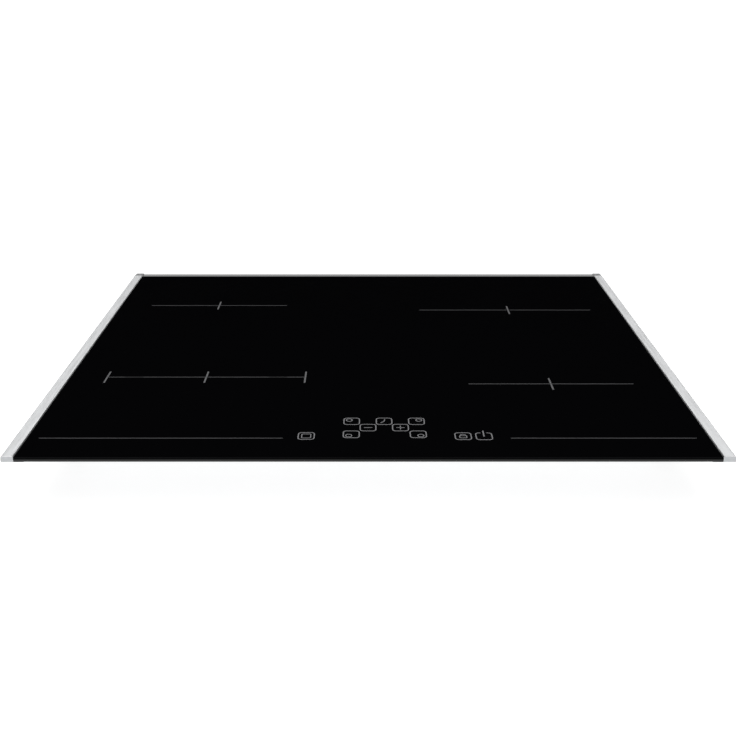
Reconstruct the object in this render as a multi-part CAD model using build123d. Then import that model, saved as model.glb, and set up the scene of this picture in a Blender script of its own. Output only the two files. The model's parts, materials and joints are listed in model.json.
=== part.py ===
from build123d import *
from math import cos, pi, radians, sin
import os

# Built-in induction hob, millimetres. +X right, +Y to the rear, +Z up.
# The origin is the middle of the casing's bottom face.

# ---- Driving dimensions -------------------------------------------------------
HOB_WIDTH = 608.0
HOB_DEPTH = 522.0
HOB_HEIGHT = 56.0

TRIM_WIDTH = 10.5
TRIM_PROUD = 1.0
GLASS_THICK = 4.0
FRONT_ROUND = 1.0
REAR_FACET_RUN = 11.5
REAR_FACET_DROP = 0.6
EDGE_BREAK = 0.5
PRINT_THICK = 0.08

CASING_WIDTH = 528.0
CASING_DEPTH = 484.0
CASING_TOP = 50.0
SHEET = 0.8
BAY_FLOOR_Z = 42.0
RAMP_TOP_Y = -212.5
RAMP_FOOT_Y = -158.5

BEND_R = 2.0
RIB_XS = (25.0, 112.0, 200.0)
RIB_LENGTH = 225.0
RIB_WIDTH = 12.0
RIB_RISE = 1.2

SEAT_Z = 48.5
GASKET_HALF_D = 254.0
GASKET_WIDTH = 10.0
FLANGE_THICK = 0.8

# ---- Worked out from them -----------------------------------------------------
HALF_W = HOB_WIDTH / 2
HALF_D = HOB_DEPTH / 2
GLASS_HALF_W = HALF_W - TRIM_WIDTH
GLASS_TOP = HOB_HEIGHT - TRIM_PROUD
GLASS_BOTTOM = GLASS_TOP - GLASS_THICK
LIP_X = GLASS_HALF_W - 8.5
CASE_X = CASING_WIDTH / 2
CASE_Y = CASING_DEPTH / 2
LIP_BOTTOM = CASING_TOP

# ---- Cooking zones: centre, marked half-width, coil radius ---------------------
ZONES = {
    "front_left": dict(x=-159.5, y=-89.0, mark=97.5, coil=90.0, tick_x=-159.5),
    "rear_left": dict(x=-177.0, y=131.0, mark=80.5, coil=72.5, tick_x=-177.0),
    "front_right": dict(x=177.0, y=-106.0, mark=80.0, coil=72.5, tick_x=177.0),
    "rear_right": dict(x=160.0, y=114.5, mark=100.5, coil=90.0, tick_x=164.0),
}
LINE_WIDTH = 0.8
TICK_WIDTH = 1.2
TICK_LENGTH = 33.0
DUAL_INNER_R = 58.0
DUAL_GAP = 5.0

# ---- Coil assembly, from the glass down ----------------------------------------
MICA_THICK = 0.6
COIL_GAP = 0.3
WINDING_THICK = 3.6
CARRIER_THICK = 3.0
FERRITE_THICK = 4.0
COIL_INNER_R = 20.0
SENSOR_R = 6.0
WINDING_TOP = GLASS_BOTTOM - MICA_THICK - COIL_GAP
CARRIER_TOP = WINDING_TOP - WINDING_THICK
CARRIER_BOTTOM = CARRIER_TOP - CARRIER_THICK
TRAY_BOTTOM = 29.0
TRAY_TOP = TRAY_BOTTOM + SHEET
SPRING_R = 4.5
SPRING_WIRE = 1.0
SPRING_TURNS = 6

# ---- Electronics ----------------------------------------------------------------
BOARD_THICK = 1.6
BOARD_Z = 7.0
FAN_SIZE = 80.0
FAN_X = 206.0
FAN_Y = 192.0
FAN_HEIGHT = 20.0
ROTOR_R = 36.0
FAN_BORE_R = 37.5
SHAFT_R = 1.5
RUNNING_GAP = 0.05

# ---- Clamps ---------------------------------------------------------------------
CLAMP_X = CASE_X + 8.0
CLAMP_YS = {"front": -110.0, "rear": 150.0}
CLAMP_SCREW_R = 2.5
CLAMP_ARM_Z = 8.5
CLAMP_ARM_REACH = 25.0
CLAMP_NUT_HEIGHT = 4.0

# ---- Terminal box ---------------------------------------------------------------
TERM_X0 = -50.0
TERM_X1 = 50.0
TERM_Y0 = 204.0
TERM_Z0 = 5.0
TERM_Z1 = 27.0
COVER_THICK = 2.0
COVER_HINGE_Y = CASE_Y + 2.6
COVER_HINGE_Z = 4.0
COVER_PIN_R = 1.2


def block(x0, x1, y0, y1, z0, z1):
    """A rectangular block between two corners."""
    middle = Pos((x0 + x1) / 2, (y0 + y1) / 2, (z0 + z1) / 2)
    return middle * Box(x1 - x0, y1 - y0, z1 - z0)


def rod(x, y, z0, z1, radius):
    """An upright round bar."""
    return Pos(x, y, (z0 + z1) / 2) * Cylinder(radius, z1 - z0)


def tube(x, y, z0, z1, outer, inner):
    """An upright tube."""
    return rod(x, y, z0, z1, outer) - rod(x, y, z0 - 1, z1 + 1, inner)


def rod_x(x0, x1, y, z, radius):
    """A round bar along X."""
    return Pos((x0 + x1) / 2, y, z) * Rot(0, 90, 0) * Cylinder(radius, x1 - x0)


def rod_y(x, y0, y1, z, radius):
    """A round bar along Y."""
    return Pos(x, (y0 + y1) / 2, z) * Rot(90, 0, 0) * Cylinder(radius, y1 - y0)


def frame_ring(half_x, half_y, width_x, width_y, z0, z1):
    """A rectangular ring, given its outer half sizes and its side widths."""
    outer = block(-half_x, half_x, -half_y, half_y, z0, z1)
    inner = block(-half_x + width_x, half_x - width_x, -half_y + width_y, half_y - width_y, z0 - 1, z1 + 1)
    return outer - inner


def save(name, *solids):
    """Write one node, made of one or more solids."""
    flat = []
    for item in solids:
        flat.extend(item.solids())
    shape = flat[0] if len(flat) == 1 else Compound(children=flat)
    export_step(shape, f"parts/{name}.step")


# ---- Glass, trims and print -----------------------------------------------------
def glass_top():
    """Glass-ceramic plate: rounded front edge, shallow facet along the rear edge."""
    front = -HALF_D
    rear = HALF_D
    line = [
        Line((front + EDGE_BREAK, GLASS_BOTTOM), (front, GLASS_BOTTOM + EDGE_BREAK)),
        Line((front, GLASS_BOTTOM + EDGE_BREAK), (front, GLASS_TOP - FRONT_ROUND)),
        RadiusArc((front, GLASS_TOP - FRONT_ROUND), (front + FRONT_ROUND, GLASS_TOP), FRONT_ROUND),
        Line((front + FRONT_ROUND, GLASS_TOP), (rear - REAR_FACET_RUN, GLASS_TOP)),
        Line((rear - REAR_FACET_RUN, GLASS_TOP), (rear, GLASS_TOP - REAR_FACET_DROP)),
        Line((rear, GLASS_TOP - REAR_FACET_DROP), (rear, GLASS_BOTTOM + EDGE_BREAK)),
        Line((rear, GLASS_BOTTOM + EDGE_BREAK), (rear - EDGE_BREAK, GLASS_BOTTOM)),
        Line((rear - EDGE_BREAK, GLASS_BOTTOM), (front + EDGE_BREAK, GLASS_BOTTOM)),
    ]
    section = Plane.YZ * make_face(Wire(line))
    return extrude(section, GLASS_HALF_W, both=True)


def rear_facet_cutter():
    """Wedge above the trims' shallow rear facet, in line with the one on the glass."""
    start = HALF_D - REAR_FACET_RUN
    corners = [(start, HOB_HEIGHT), (HALF_D + 1, HOB_HEIGHT - REAR_FACET_DROP), (HALF_D + 1, HOB_HEIGHT + 1)]
    wedge = Plane.YZ * make_face(Polyline(*corners, (start, HOB_HEIGHT + 1), close=True))
    return extrude(wedge, HALF_W + 1, both=True)


def side_trim():
    """Right-hand aluminium side trim with a lip under the glass, cut back at the front."""
    inner = GLASS_HALF_W
    outer = HALF_W
    points = [
        (LIP_X, LIP_BOTTOM), (outer - 0.6, LIP_BOTTOM), (outer, LIP_BOTTOM + 0.6),
        (outer, HOB_HEIGHT - 1.5), (outer - 1.5, HOB_HEIGHT), (inner + 0.8, HOB_HEIGHT),
        (inner, HOB_HEIGHT - 0.8), (inner, GLASS_BOTTOM), (LIP_X, GLASS_BOTTOM),
    ]
    section = Plane.XZ * make_face(Polyline(*points, close=True))
    trim = extrude(section, HALF_D, both=True)
    front_relief = block(LIP_X - 1, outer + 1, -HALF_D - 1, -HALF_D + 5, LIP_BOTTOM - 1, GLASS_BOTTOM)
    return trim - front_relief - rear_facet_cutter()


def stroke(x0, x1, y0, y1):
    """A printed rectangle on the glass."""
    return block(x0, x1, y0, y1, GLASS_TOP, GLASS_TOP + PRINT_THICK)


def tick(x, y):
    """A printed tick, along the depth."""
    return stroke(x - TICK_WIDTH / 2, x + TICK_WIDTH / 2, y - TICK_LENGTH / 2, y + TICK_LENGTH / 2)


def zone_markings():
    """A line across each zone with a tick at its middle; the dual zone has end ticks too."""
    marks = []
    for name, zone in ZONES.items():
        y0 = zone["y"] - LINE_WIDTH / 2
        y1 = zone["y"] + LINE_WIDTH / 2
        mark = stroke(zone["x"] - zone["mark"], zone["x"] + zone["mark"], y0, y1) + tick(zone["tick_x"], zone["y"])
        if name == "front_left":
            mark += tick(zone["x"] - zone["mark"], zone["y"])
            mark += tick(zone["x"] + zone["mark"], zone["y"])
        marks.append(mark)
    return marks


KEY = 14.0
KEYS = {
    "pause": (-53.5, -220.3),
    "zone_rear_left": (-14.8, -190.7),
    "timer": (14.0, -190.7),
    "zone_rear_right": (42.8, -190.7),
    "minus": (-0.2, -203.5),
    "plus": (28.2, -203.5),
    "zone_front_left": (-14.8, -217.0),
    "zone_front_right": (43.2, -217.0),
    "lock": (81.8, -220.7),
    "power": (99.8, -220.9),
}
STRIP_Y = -224.5
STRIP_LEFT = (-283.0, -73.5)
STRIP_RIGHT = (122.5, 282.0)


def key_outline(x, y):
    """A rounded square outline with a short dash in it."""
    outer = Pos(x, y) * RectangleRounded(KEY, KEY, 2.5)
    inner = Pos(x, y) * RectangleRounded(KEY - 1.6, KEY - 1.6, 1.7)
    ring = extrude(outer - inner, PRINT_THICK)
    return [Pos(0, 0, GLASS_TOP) * ring, stroke(x - 3, x + 3, y - 0.4, y + 0.4)]


def control_markings():
    """Ten key outlines and the two lines beside them."""
    marks = []
    for x, y in KEYS.values():
        marks.extend(key_outline(x, y))
    for x0, x1 in (STRIP_LEFT, STRIP_RIGHT):
        marks.append(stroke(x0, x1, STRIP_Y - 0.5, STRIP_Y + 0.5))
    return marks


# ---- Rim, frame and casing --------------------------------------------------------
def rim_gasket():
    """Foam strip all round: on the glass at the front and rear, on the trim lips at the sides."""
    width = GASKET_WIDTH
    ring = frame_ring(HALF_W - 8, GASKET_HALF_D, width, width, SEAT_Z, LIP_BOTTOM)
    for side in (-1, 1):
        y0, y1 = sorted((side * (GASKET_HALF_D - width + 1.5), side * GASKET_HALF_D))
        ring += block(-LIP_X, LIP_X, y0, y1, LIP_BOTTOM, GLASS_BOTTOM)
    return ring


def support_frame():
    """Steel angle frame: flange glued under the glass, leg down inside the casing walls."""
    flange_z = GLASS_BOTTOM - FLANGE_THICK
    leg_x = CASE_X - SHEET
    leg_y = CASE_Y - SHEET
    frame = frame_ring(278, 245, 278 - leg_x + 1, 245 - leg_y + 1, flange_z, GLASS_BOTTOM)
    frame += frame_ring(leg_x, leg_y, 1, 1, BAY_FLOOR_Z + BEND_R + 0.2, flange_z)
    for hole in screw_shafts(2.1):
        frame -= hole
    return frame


def casing_profile(inset):
    """Side outline of the casing: raised front bay, ramp, deep part."""
    top = CASING_TOP + (0 if inset == 0 else 1)
    slope = (RAMP_FOOT_Y - RAMP_TOP_Y) / BAY_FLOOR_Z
    shift = inset * ((1 + slope**2) ** 0.5 - slope)
    return [
        (-CASE_Y + inset, top), (-CASE_Y + inset, BAY_FLOOR_Z + inset),
        (RAMP_TOP_Y + shift, BAY_FLOOR_Z + inset), (RAMP_FOOT_Y + shift, inset),
        (CASE_Y - inset, inset), (CASE_Y - inset, top),
    ]


def screw_places():
    """Casing screw positions on the walls, with the outward direction of each."""
    places = [(side * CASE_X, y, side, 0) for side in (-1, 1) for y in (-190, 20, 222)]
    places += [(x, -CASE_Y, 0, -1) for x in (-150, 150)]
    places += [(x, CASE_Y, 0, 1) for x in (-110, 110)]
    return places


SCREW_Z = 46.5
SCREW_REACH = 3.4


def screw_shafts(radius):
    """The shafts of the casing screws, or with a larger radius their holes."""
    shafts = []
    for x, y, sx, sy in screw_places():
        if sx:
            a, b = sorted((x - sx * SCREW_REACH, x))
            shafts.append(rod_x(a, b, y, SCREW_Z, radius))
        else:
            a, b = sorted((y - sy * SCREW_REACH, y))
            shafts.append(rod_y(x, a, b, SCREW_Z, radius))
    return shafts


def casing_screws():
    """Pan-head screws through the casing walls into the support frame."""
    screws = []
    for (x, y, sx, sy), shaft in zip(screw_places(), screw_shafts(1.95)):
        if sx:
            a, b = sorted((x, x + sx * 2))
            head = rod_x(a, b, y, SCREW_Z, 3.4)
            slot = block(x + sx * 1.2 - 0.8, x + sx * 2 + 0.8, y - 2.2, y + 2.2, SCREW_Z - 0.4, SCREW_Z + 0.4)
        else:
            a, b = sorted((y, y + sy * 2))
            head = rod_y(x, a, b, SCREW_Z, 3.4)
            slot = block(x - 2.2, x + 2.2, y + sy * 1.2 - 0.8, y + sy * 2 + 0.8, SCREW_Z - 0.4, SCREW_Z + 0.4)
        screws.append(head + shaft - slot)
    return screws


def vent_slots():
    """Cutters for the fan inlets in the floor and the outlets in the rear wall and the ramp."""
    slots = []
    for side in (-1, 1):
        for i in range(-5, 6):
            half = (32.0**2 - (i * 5.6) ** 2) ** 0.5
            x = side * FAN_X + i * 5.6
            slots.append(block(x - 1.4, x + 1.4, FAN_Y - half, FAN_Y + half, -1, SHEET + 0.5))
    for i in range(12):
        x = 75 + i * 7
        if abs(x - 110) > 8:
            for side in (-1, 1):
                slots.append(block(side * x - 1.5, side * x + 1.5, CASE_Y - 2, CASE_Y + 1, 30, 42))
    for i in range(-12, 13):
        slots.append(block(i * 16 - 5, i * 16 + 5, -205, -175, 20, 24))
    return slots


def casing_solid(inset, radius):
    """The casing's filled outside or inside, with rounded bends along its floor."""
    section = Plane.YZ * make_face(Polyline(*casing_profile(inset), close=True))
    filled = extrude(section, CASE_X - inset, both=True)
    bends = []
    for edge in filled.edges():
        size = edge.bounding_box().size
        upright = size.X < 0.01 and size.Y < 0.01
        if edge.center().Z < BAY_FLOOR_Z + 2 and not upright:
            bends.append(edge)
    return fillet(bends, radius)


def floor_ribs(width, z0, z1):
    """Six pressed ribs along the casing's floor."""
    ribs = []
    for x in RIB_XS:
        for side in (-1, 1):
            slot = Pos(side * x, -20, z0) * Rot(0, 0, 90) * SlotOverall(RIB_LENGTH - RIB_WIDTH + width, width)
            ribs.append(extrude(slot, z1 - z0))
    return ribs


def bottom_casing():
    """Galvanised sheet-steel pan with a raised front bay, ribs, vents and the terminal window."""
    pan = casing_solid(0, BEND_R) - casing_solid(SHEET, BEND_R - SHEET)
    pan = pan + floor_ribs(RIB_WIDTH, SHEET / 2, SHEET + RIB_RISE)
    pan = pan - floor_ribs(RIB_WIDTH - 2 * SHEET, -1, RIB_RISE)
    window = block(TERM_X0, TERM_X1, CASE_Y - 3, CASE_Y + 1, TERM_Z0, TERM_Z1)
    return pan - vent_slots() - screw_shafts(2.1) - window


# ---- Coils ------------------------------------------------------------------------
def at_angle(zone, radius, degrees):
    """A point round a zone's centre."""
    return zone["x"] + radius * cos(radians(degrees)), zone["y"] + radius * sin(radians(degrees))


def spring_points(zone):
    """Three springs per coil, between the ferrite bars."""
    return [at_angle(zone, zone["coil"] * 0.72, angle) for angle in (30, 150, 270)]


def ferrite_angles(zone):
    """Ferrite bars lie between the springs."""
    return [0, 60, 90, 120, 180, 210, 240, 300, 330]


def insulation_sheets():
    """Mica discs under the glass, one over each coil, with a hole for the sensor."""
    z0 = GLASS_BOTTOM - MICA_THICK
    return [tube(z["x"], z["y"], z0, GLASS_BOTTOM, z["coil"] + 3, SENSOR_R + 3) for z in ZONES.values()]


def coil_winding(name, zone):
    """Flat litz winding as an annulus; the dual zone has an inner and an outer one."""
    x, y = zone["x"], zone["y"]
    if name == "front_left":
        return [
            tube(x, y, CARRIER_TOP, WINDING_TOP, DUAL_INNER_R, COIL_INNER_R),
            tube(x, y, CARRIER_TOP, WINDING_TOP, zone["coil"], DUAL_INNER_R + DUAL_GAP),
        ]
    return [tube(x, y, CARRIER_TOP, WINDING_TOP, zone["coil"], COIL_INNER_R)]


def coil_carrier(zone):
    """Moulded carrier: rim, hub and spokes."""
    x, y, rim = zone["x"], zone["y"], zone["coil"] + 2.5
    disc = tube(x, y, CARRIER_BOTTOM, CARRIER_TOP, rim, rim - 6)
    disc += tube(x, y, CARRIER_BOTTOM, CARRIER_TOP, COIL_INNER_R + 3, SENSOR_R + 0.4)
    for angle in range(0, 360, 30):
        spoke = block(COIL_INNER_R, rim - 3, -6, 6, CARRIER_BOTTOM, CARRIER_TOP)
        disc += Pos(x, y) * Rot(0, 0, angle) * spoke
    return disc


def coil_ferrites(zone):
    """Ferrite bars under the carrier's spokes."""
    z0 = CARRIER_BOTTOM - FERRITE_THICK
    bar = block(COIL_INNER_R + 6, zone["coil"] - 3, -4, 4, z0, CARRIER_BOTTOM)
    return [Pos(zone["x"], zone["y"]) * Rot(0, 0, a) * bar for a in ferrite_angles(zone)]


def coil_sensor(zone):
    """Temperature sensor: a capped cylinder in the middle of the coil."""
    x, y = zone["x"], zone["y"]
    body = rod(x, y, CARRIER_BOTTOM - 1, GLASS_BOTTOM - COIL_GAP - 1.5, SENSOR_R - 1)
    flange = rod(x, y, CARRIER_BOTTOM - 2, CARRIER_BOTTOM, SENSOR_R + 3)
    cap = rod(x, y, GLASS_BOTTOM - COIL_GAP - 1.5, GLASS_BOTTOM - COIL_GAP, SENSOR_R)
    return body + flange + cap


def coil_springs(zone):
    """Compression springs that press the coil up towards the glass."""
    radius = SPRING_R - SPRING_WIRE / 2
    low = TRAY_TOP + SPRING_WIRE / 2
    height = CARRIER_BOTTOM - TRAY_TOP - SPRING_WIRE
    path = Helix(pitch=height / SPRING_TURNS, height=height, radius=radius)
    section = Plane(origin=path @ 0, z_dir=path % 0) * Circle(SPRING_WIRE / 2)
    spring = sweep(section, path=path)
    return [Pos(x, y, low) * spring for x, y in spring_points(zone)]


def coil_tray(side):
    """Aluminium tray over the electronics, with a folded outer leg and an inner foot strip."""
    x_out = side * (CASE_X - SHEET - 2.4)
    x_in = side * 62.5
    a, b = sorted((x_out, side * 4))
    tray = block(a, b, -190, 150, TRAY_BOTTOM, TRAY_TOP)
    a, b = sorted((side * 164, side * 66))
    tray += block(a, b, 150, 236, TRAY_BOTTOM, TRAY_TOP)
    a, b = sorted((x_out, x_out - side * SHEET))
    tray += block(a, b, -140, 140, SHEET, TRAY_BOTTOM)
    for y in (-120, 60):
        tray += rod(x_in, y, SHEET, TRAY_BOTTOM, 2.5)
    for zone in ZONES.values():
        if zone["x"] * side > 0:
            tray -= rod(zone["x"], zone["y"], TRAY_BOTTOM - 1, TRAY_TOP + 1, 14)
    a, b = sorted((side * 84, side * 108))
    return tray - block(a, b, -191, -178, TRAY_BOTTOM - 1, TRAY_TOP + 1)


# ---- Electronics ----------------------------------------------------------------------
def power_board(side):
    """Power circuit board on five feet."""
    a, b = sorted((side * 66, side * 257.5))
    board = block(a, b, -148, 140, BOARD_Z, BOARD_Z + BOARD_THICK)
    feet = [(74, -140), (250, -140), (74, 132), (250, 132), (150, -60)]
    return [board] + [rod(side * x, y, SHEET, BOARD_Z, 3) for x, y in feet]


def heatsink(side):
    """Extruded heatsink in the fan's air stream."""
    x, z = side * FAN_X, BOARD_Z + BOARD_THICK
    sink = block(x - 34, x + 34, -20, 132, z, z + 4)
    for i in range(9):
        fin_x = x - 33 + i * 8.05
        sink += block(fin_x, fin_x + 1.6, -20, 132, z + 4, z + 19)
    return sink


def board_components(side):
    """Transistors, film capacitors, choke and connectors on a power board."""
    z = BOARD_Z + BOARD_THICK
    parts = [block(side * 164 - 2.5, side * 164 + 2.5, y, y + 16, z, z + 18) for y in (-10, 24, 58, 92)]
    for y in (-10, 22, 54):
        parts.append(block(side * 140 - 9, side * 140 + 9, y, y + 26, z, z + 17))
    parts.append(tube(side * 110, 100, z, z + 13, 17, 8))
    parts.append(block(side * 110 - 16, side * 110 + 16, -20, 30, z, z + 12))
    for y in (-70, -95, -120):
        parts.append(block(side * 200 - 14, side * 200 + 14, y - 6, y + 6, z, z + 10))
        parts.append(rod(side * 110, y, z, z + 16, 8))
    return parts


def fan_housing(side):
    """Square fan frame with a round duct and a motor seat on three struts."""
    x, y, z = side * FAN_X, FAN_Y, SHEET
    h = FAN_SIZE / 2
    frame = block(x - h, x + h, y - h, y + h, z, z + FAN_HEIGHT) - rod(x, y, z - 1, z + FAN_HEIGHT + 1, FAN_BORE_R)
    frame += rod(x, y, z, z + 3, 13)
    for angle in (90, 210, 330):
        frame += Pos(x, y) * Rot(0, 0, angle) * block(8, h - 1.5, -2, 2, z, z + 3)
    return frame - rod(x, y, z - 1, z + 4, SHAFT_R + RUNNING_GAP)


def fan_rotor(side):
    """Hub with shaft and seven pitched blades."""
    x, y, z = side * FAN_X, FAN_Y, SHEET + 3.5
    rotor = rod(0, 0, 0, 14, 13) + rod(0, 0, -3, 1, SHAFT_R)
    limit = rod(0, 0, 0.5, 15.5, ROTOR_R)
    for i in range(7):
        blade = Rot(0, 0, i * 360 / 7) * (Pos(24, 0, 7.5) * (Rot(38, 0, 0) * Box(26, 17, 1.2)))
        rotor += blade & limit
    return Pos(x, y, z) * rotor


def filter_board():
    """Mains filter board: board, feet, choke, capacitors, relay and fuse."""
    z = BOARD_Z + BOARD_THICK
    parts = [block(-56, 56, 100, 192, BOARD_Z, z)]
    parts += [rod(x, y, SHEET, BOARD_Z, 3) for x in (-50, 50) for y in (106, 186)]
    parts.append(tube(-32, 150, z, z + 14, 18, 8))
    parts += [block(x - 5, x + 5, 112, 138, z, z + 15) for x in (0, 14, 28)]
    parts.append(block(10, 38, 160, 180, z, z + 15))
    parts.append(rod_x(-40, -14, 110, z + 4, 3.5))
    return parts


# ---- Terminal box -----------------------------------------------------------------------
def terminal_housing():
    """Moulded box behind the rear window, open to the rear, with two hinge ears."""
    rear = CASE_Y + 0.6
    box = block(TERM_X0 + 0.3, TERM_X1 - 0.3, TERM_Y0, rear, TERM_Z0 + 0.3, TERM_Z1 - 0.3)
    box -= block(TERM_X0 + 2.3, TERM_X1 - 2.3, TERM_Y0 + 2, rear + 1, TERM_Z0 + 2.3, TERM_Z1 - 2.3)
    for x in (TERM_X0 + 4, TERM_X1 - 8):
        box += block(x, x + 4, CASE_Y - 1, COVER_HINGE_Y + 2.2, TERM_Z0 + 0.3, TERM_Z0 + 2.3)
        box += block(x, x + 4, CASE_Y + 0.3, COVER_HINGE_Y + 2.2, COVER_HINGE_Z - 2.2, TERM_Z0 + 2.3)
    box -= block(-36, 6, TERM_Y0 - 1, TERM_Y0 + 3, TERM_Z0 + 6, TERM_Z0 + 11)
    return box - rod_x(TERM_X0, TERM_X1, COVER_HINGE_Y, COVER_HINGE_Z, COVER_PIN_R + RUNNING_GAP)


def terminal_cover():
    """Lid over the terminal window, hinged along its bottom edge, with a cable notch."""
    y0 = CASE_Y + 1.2
    lid = block(TERM_X0 - 3, TERM_X1 + 3, y0, y0 + COVER_THICK, TERM_Z0 + 3.2, TERM_Z1 + 3)
    lid -= block(18, 34, y0 - 1, y0 + COVER_THICK + 1, TERM_Z0, TERM_Z0 + 16)
    for x in (TERM_X0 + 8.4, TERM_X1 - 20.4):
        lid += block(x, x + 12, y0, y0 + COVER_THICK, COVER_HINGE_Z, TERM_Z0 + 4)
        lid += rod_x(x, x + 12, COVER_HINGE_Y, COVER_HINGE_Z, 2.2)
    pins = rod_x(TERM_X0 + 4.2, TERM_X0 + 9, COVER_HINGE_Y, COVER_HINGE_Z, COVER_PIN_R)
    pins += rod_x(TERM_X1 - 9, TERM_X1 - 4.2, COVER_HINGE_Y, COVER_HINGE_Z, COVER_PIN_R)
    return lid + pins


def terminal_block():
    """Six-way terminal block with screw wells."""
    z0 = TERM_Z0 + 2.3
    body = block(-44, 8, TERM_Y0 + 4, TERM_Y0 + 24, z0, z0 + 13)
    for i in range(6):
        x = -40 + i * 8.5
        body -= rod(x, TERM_Y0 + 12, z0 + 9, z0 + 14, 2.6)
        body -= block(x - 2.4, x + 2.4, TERM_Y0 + 20, TERM_Y0 + 25, z0 + 3, z0 + 8)
    return body


def cable_clamp():
    """Saddle and base that grip the mains lead, with two screws."""
    z0 = TERM_Z0 + 2.3
    y0, y1 = TERM_Y0 + 18, TERM_Y0 + 28
    base = block(14, 38, y0, y1, z0, z0 + 2)
    saddle = block(14, 38, y0, y1, z0 + 13.2, z0 + 15.8)
    screws = [rod(x, (y0 + y1) / 2, z0 + 2, z0 + 13.2, 1.7) for x in (16.5, 35.5)]
    return [base, saddle] + screws


# ---- Touch controls --------------------------------------------------------------------
HOLDER_Z = BAY_FLOOR_Z + SHEET + 0.3


def touch_board_holder():
    """Moulded tray that holds the touch board, on the floor of the front bay."""
    tray = block(-74, 119, -236, -178, HOLDER_Z, HOLDER_Z + 5)
    tray -= block(-72.4, 117.4, -234.4, -179.6, HOLDER_Z + 1.2, HOLDER_Z + 6)
    return tray - block(-60, 105, -205, -190, HOLDER_Z - 1, HOLDER_Z + 2)


def touch_board():
    """Touch board with a key spring under each key and a display."""
    z0 = HOLDER_Z + 1.2
    board = block(-72, 117, -234, -180, z0, z0 + BOARD_THICK)
    top = z0 + BOARD_THICK
    springs = [tube(x, y, top, GLASS_BOTTOM, 4, 3) for x, y in KEYS.values()]
    return [board, block(5, 23, -222, -212, top, top + 4.5)] + springs


# ---- Clamps ------------------------------------------------------------------------------
def clamp_places():
    """Name, side and Y of each clamp."""
    for side_name, side in (("left", -1), ("right", 1)):
        for end, y in CLAMP_YS.items():
            yield f"{end}_{side_name}", side, y


def clamp_brackets():
    """Steel brackets on the casing's side walls that hold the clamp screws top and bottom."""
    brackets = []
    for _, side, y in clamp_places():
        a, b = sorted((side * CASE_X, side * (CASE_X + 1.2)))
        bracket = block(a, b, y - 9, y + 9, 1.5, 41)
        a, b = sorted((side * CASE_X, side * (CLAMP_X + 5)))
        bracket += block(a, b, y - 9, y + 9, 1.5, 2.7)
        bracket += block(a, b, y - 9, y + 9, 39.8, 41)
        bracket -= rod(side * CLAMP_X, y, 39, 42, CLAMP_SCREW_R + 0.1)
        brackets.append(bracket - rod(side * CLAMP_X, y, 0, 4, CLAMP_SCREW_R + 0.1))
    return brackets


def clamp_screws():
    """Upright clamp screws, turned from below."""
    screws = []
    for _, side, y in clamp_places():
        x = side * CLAMP_X
        screw = rod(x, y, 1.0, 43, CLAMP_SCREW_R) + rod(x, y, 0.1, 1.5, 4.2)
        slot = block(x - 3, x + 3, y - 0.5, y + 0.5, 0, 0.8)
        screws.append(screw - slot)
    return screws


def clamp_nut(side, y):
    """Hexagonal nut that climbs the clamp screw and lifts the arm."""
    z0 = CLAMP_ARM_Z - CLAMP_NUT_HEIGHT - 0.1
    hexagon = extrude(RegularPolygon(4.6, 6), CLAMP_NUT_HEIGHT)
    collar = rod(0, 0, CLAMP_NUT_HEIGHT, CLAMP_NUT_HEIGHT + 4, 3.6)
    nut = hexagon + collar - rod(0, 0, -1, 12, CLAMP_SCREW_R + RUNNING_GAP)
    return Pos(side * CLAMP_X, y, z0) * nut


def clamp_arm(side, y):
    """Arm that swings out under the worktop, stowed pointing to the rear."""
    x, z = side * CLAMP_X, CLAMP_ARM_Z
    arm = rod(x, y, z, z + 2, 6) + block(x - 5, x + 5, y, y + CLAMP_ARM_REACH, z, z + 2)
    arm += block(x - 5, x + 5, y + CLAMP_ARM_REACH - 2, y + CLAMP_ARM_REACH, z + 1, z + 6)
    return arm - rod(x, y, z - 1, z + 3, 3.6 + RUNNING_GAP)


# ---- Wiring -------------------------------------------------------------------------------
def lead(radius, bend, *points):
    """A lead along straight runs joined by arcs."""
    path = FilletPolyline(*points, radius=bend)
    section = Plane(origin=path @ 0, z_dir=path % 0) * Circle(radius)
    return sweep(section, path=path)


def mains_leads():
    """Three leads from the terminal block, through the housing's slot, down to the filter board."""
    top = BOARD_Z + BOARD_THICK
    z = TERM_Z0 + 8.5
    leads = []
    for i in (1, 3, 5):
        x = -40 + i * 8.5
        leads.append(lead(1.4, 4, (x, TERM_Y0 + 4, z), (x, 185, z), (x, 185, top)))
    return leads


def supply_leads(side):
    """Two leads from the filter board across to a power board."""
    top = BOARD_Z + BOARD_THICK
    leads = []
    for y in (118, 124):
        x0, x1 = side * 52, side * 80
        leads.append(lead(1.4, 3.5, (x0, y, top), (x0, y, 17), (x1, y, 17), (x1, y, top)))
    return leads


def ribbon_cable():
    """Flat cable from the touch board, down the ramp, to the right power board."""
    x = 96
    points = [(x, -197, 43.9), (x, -190, 34), (x, -184, 24), (x, -162, 9.5), (x, -138, 12.5)]
    path = FilletPolyline(*points, radius=3)
    section = Plane(origin=path @ 0, x_dir=(1, 0, 0), z_dir=path % 0) * Rectangle(12, 0.8)
    return [sweep(section, path=path)]


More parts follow.
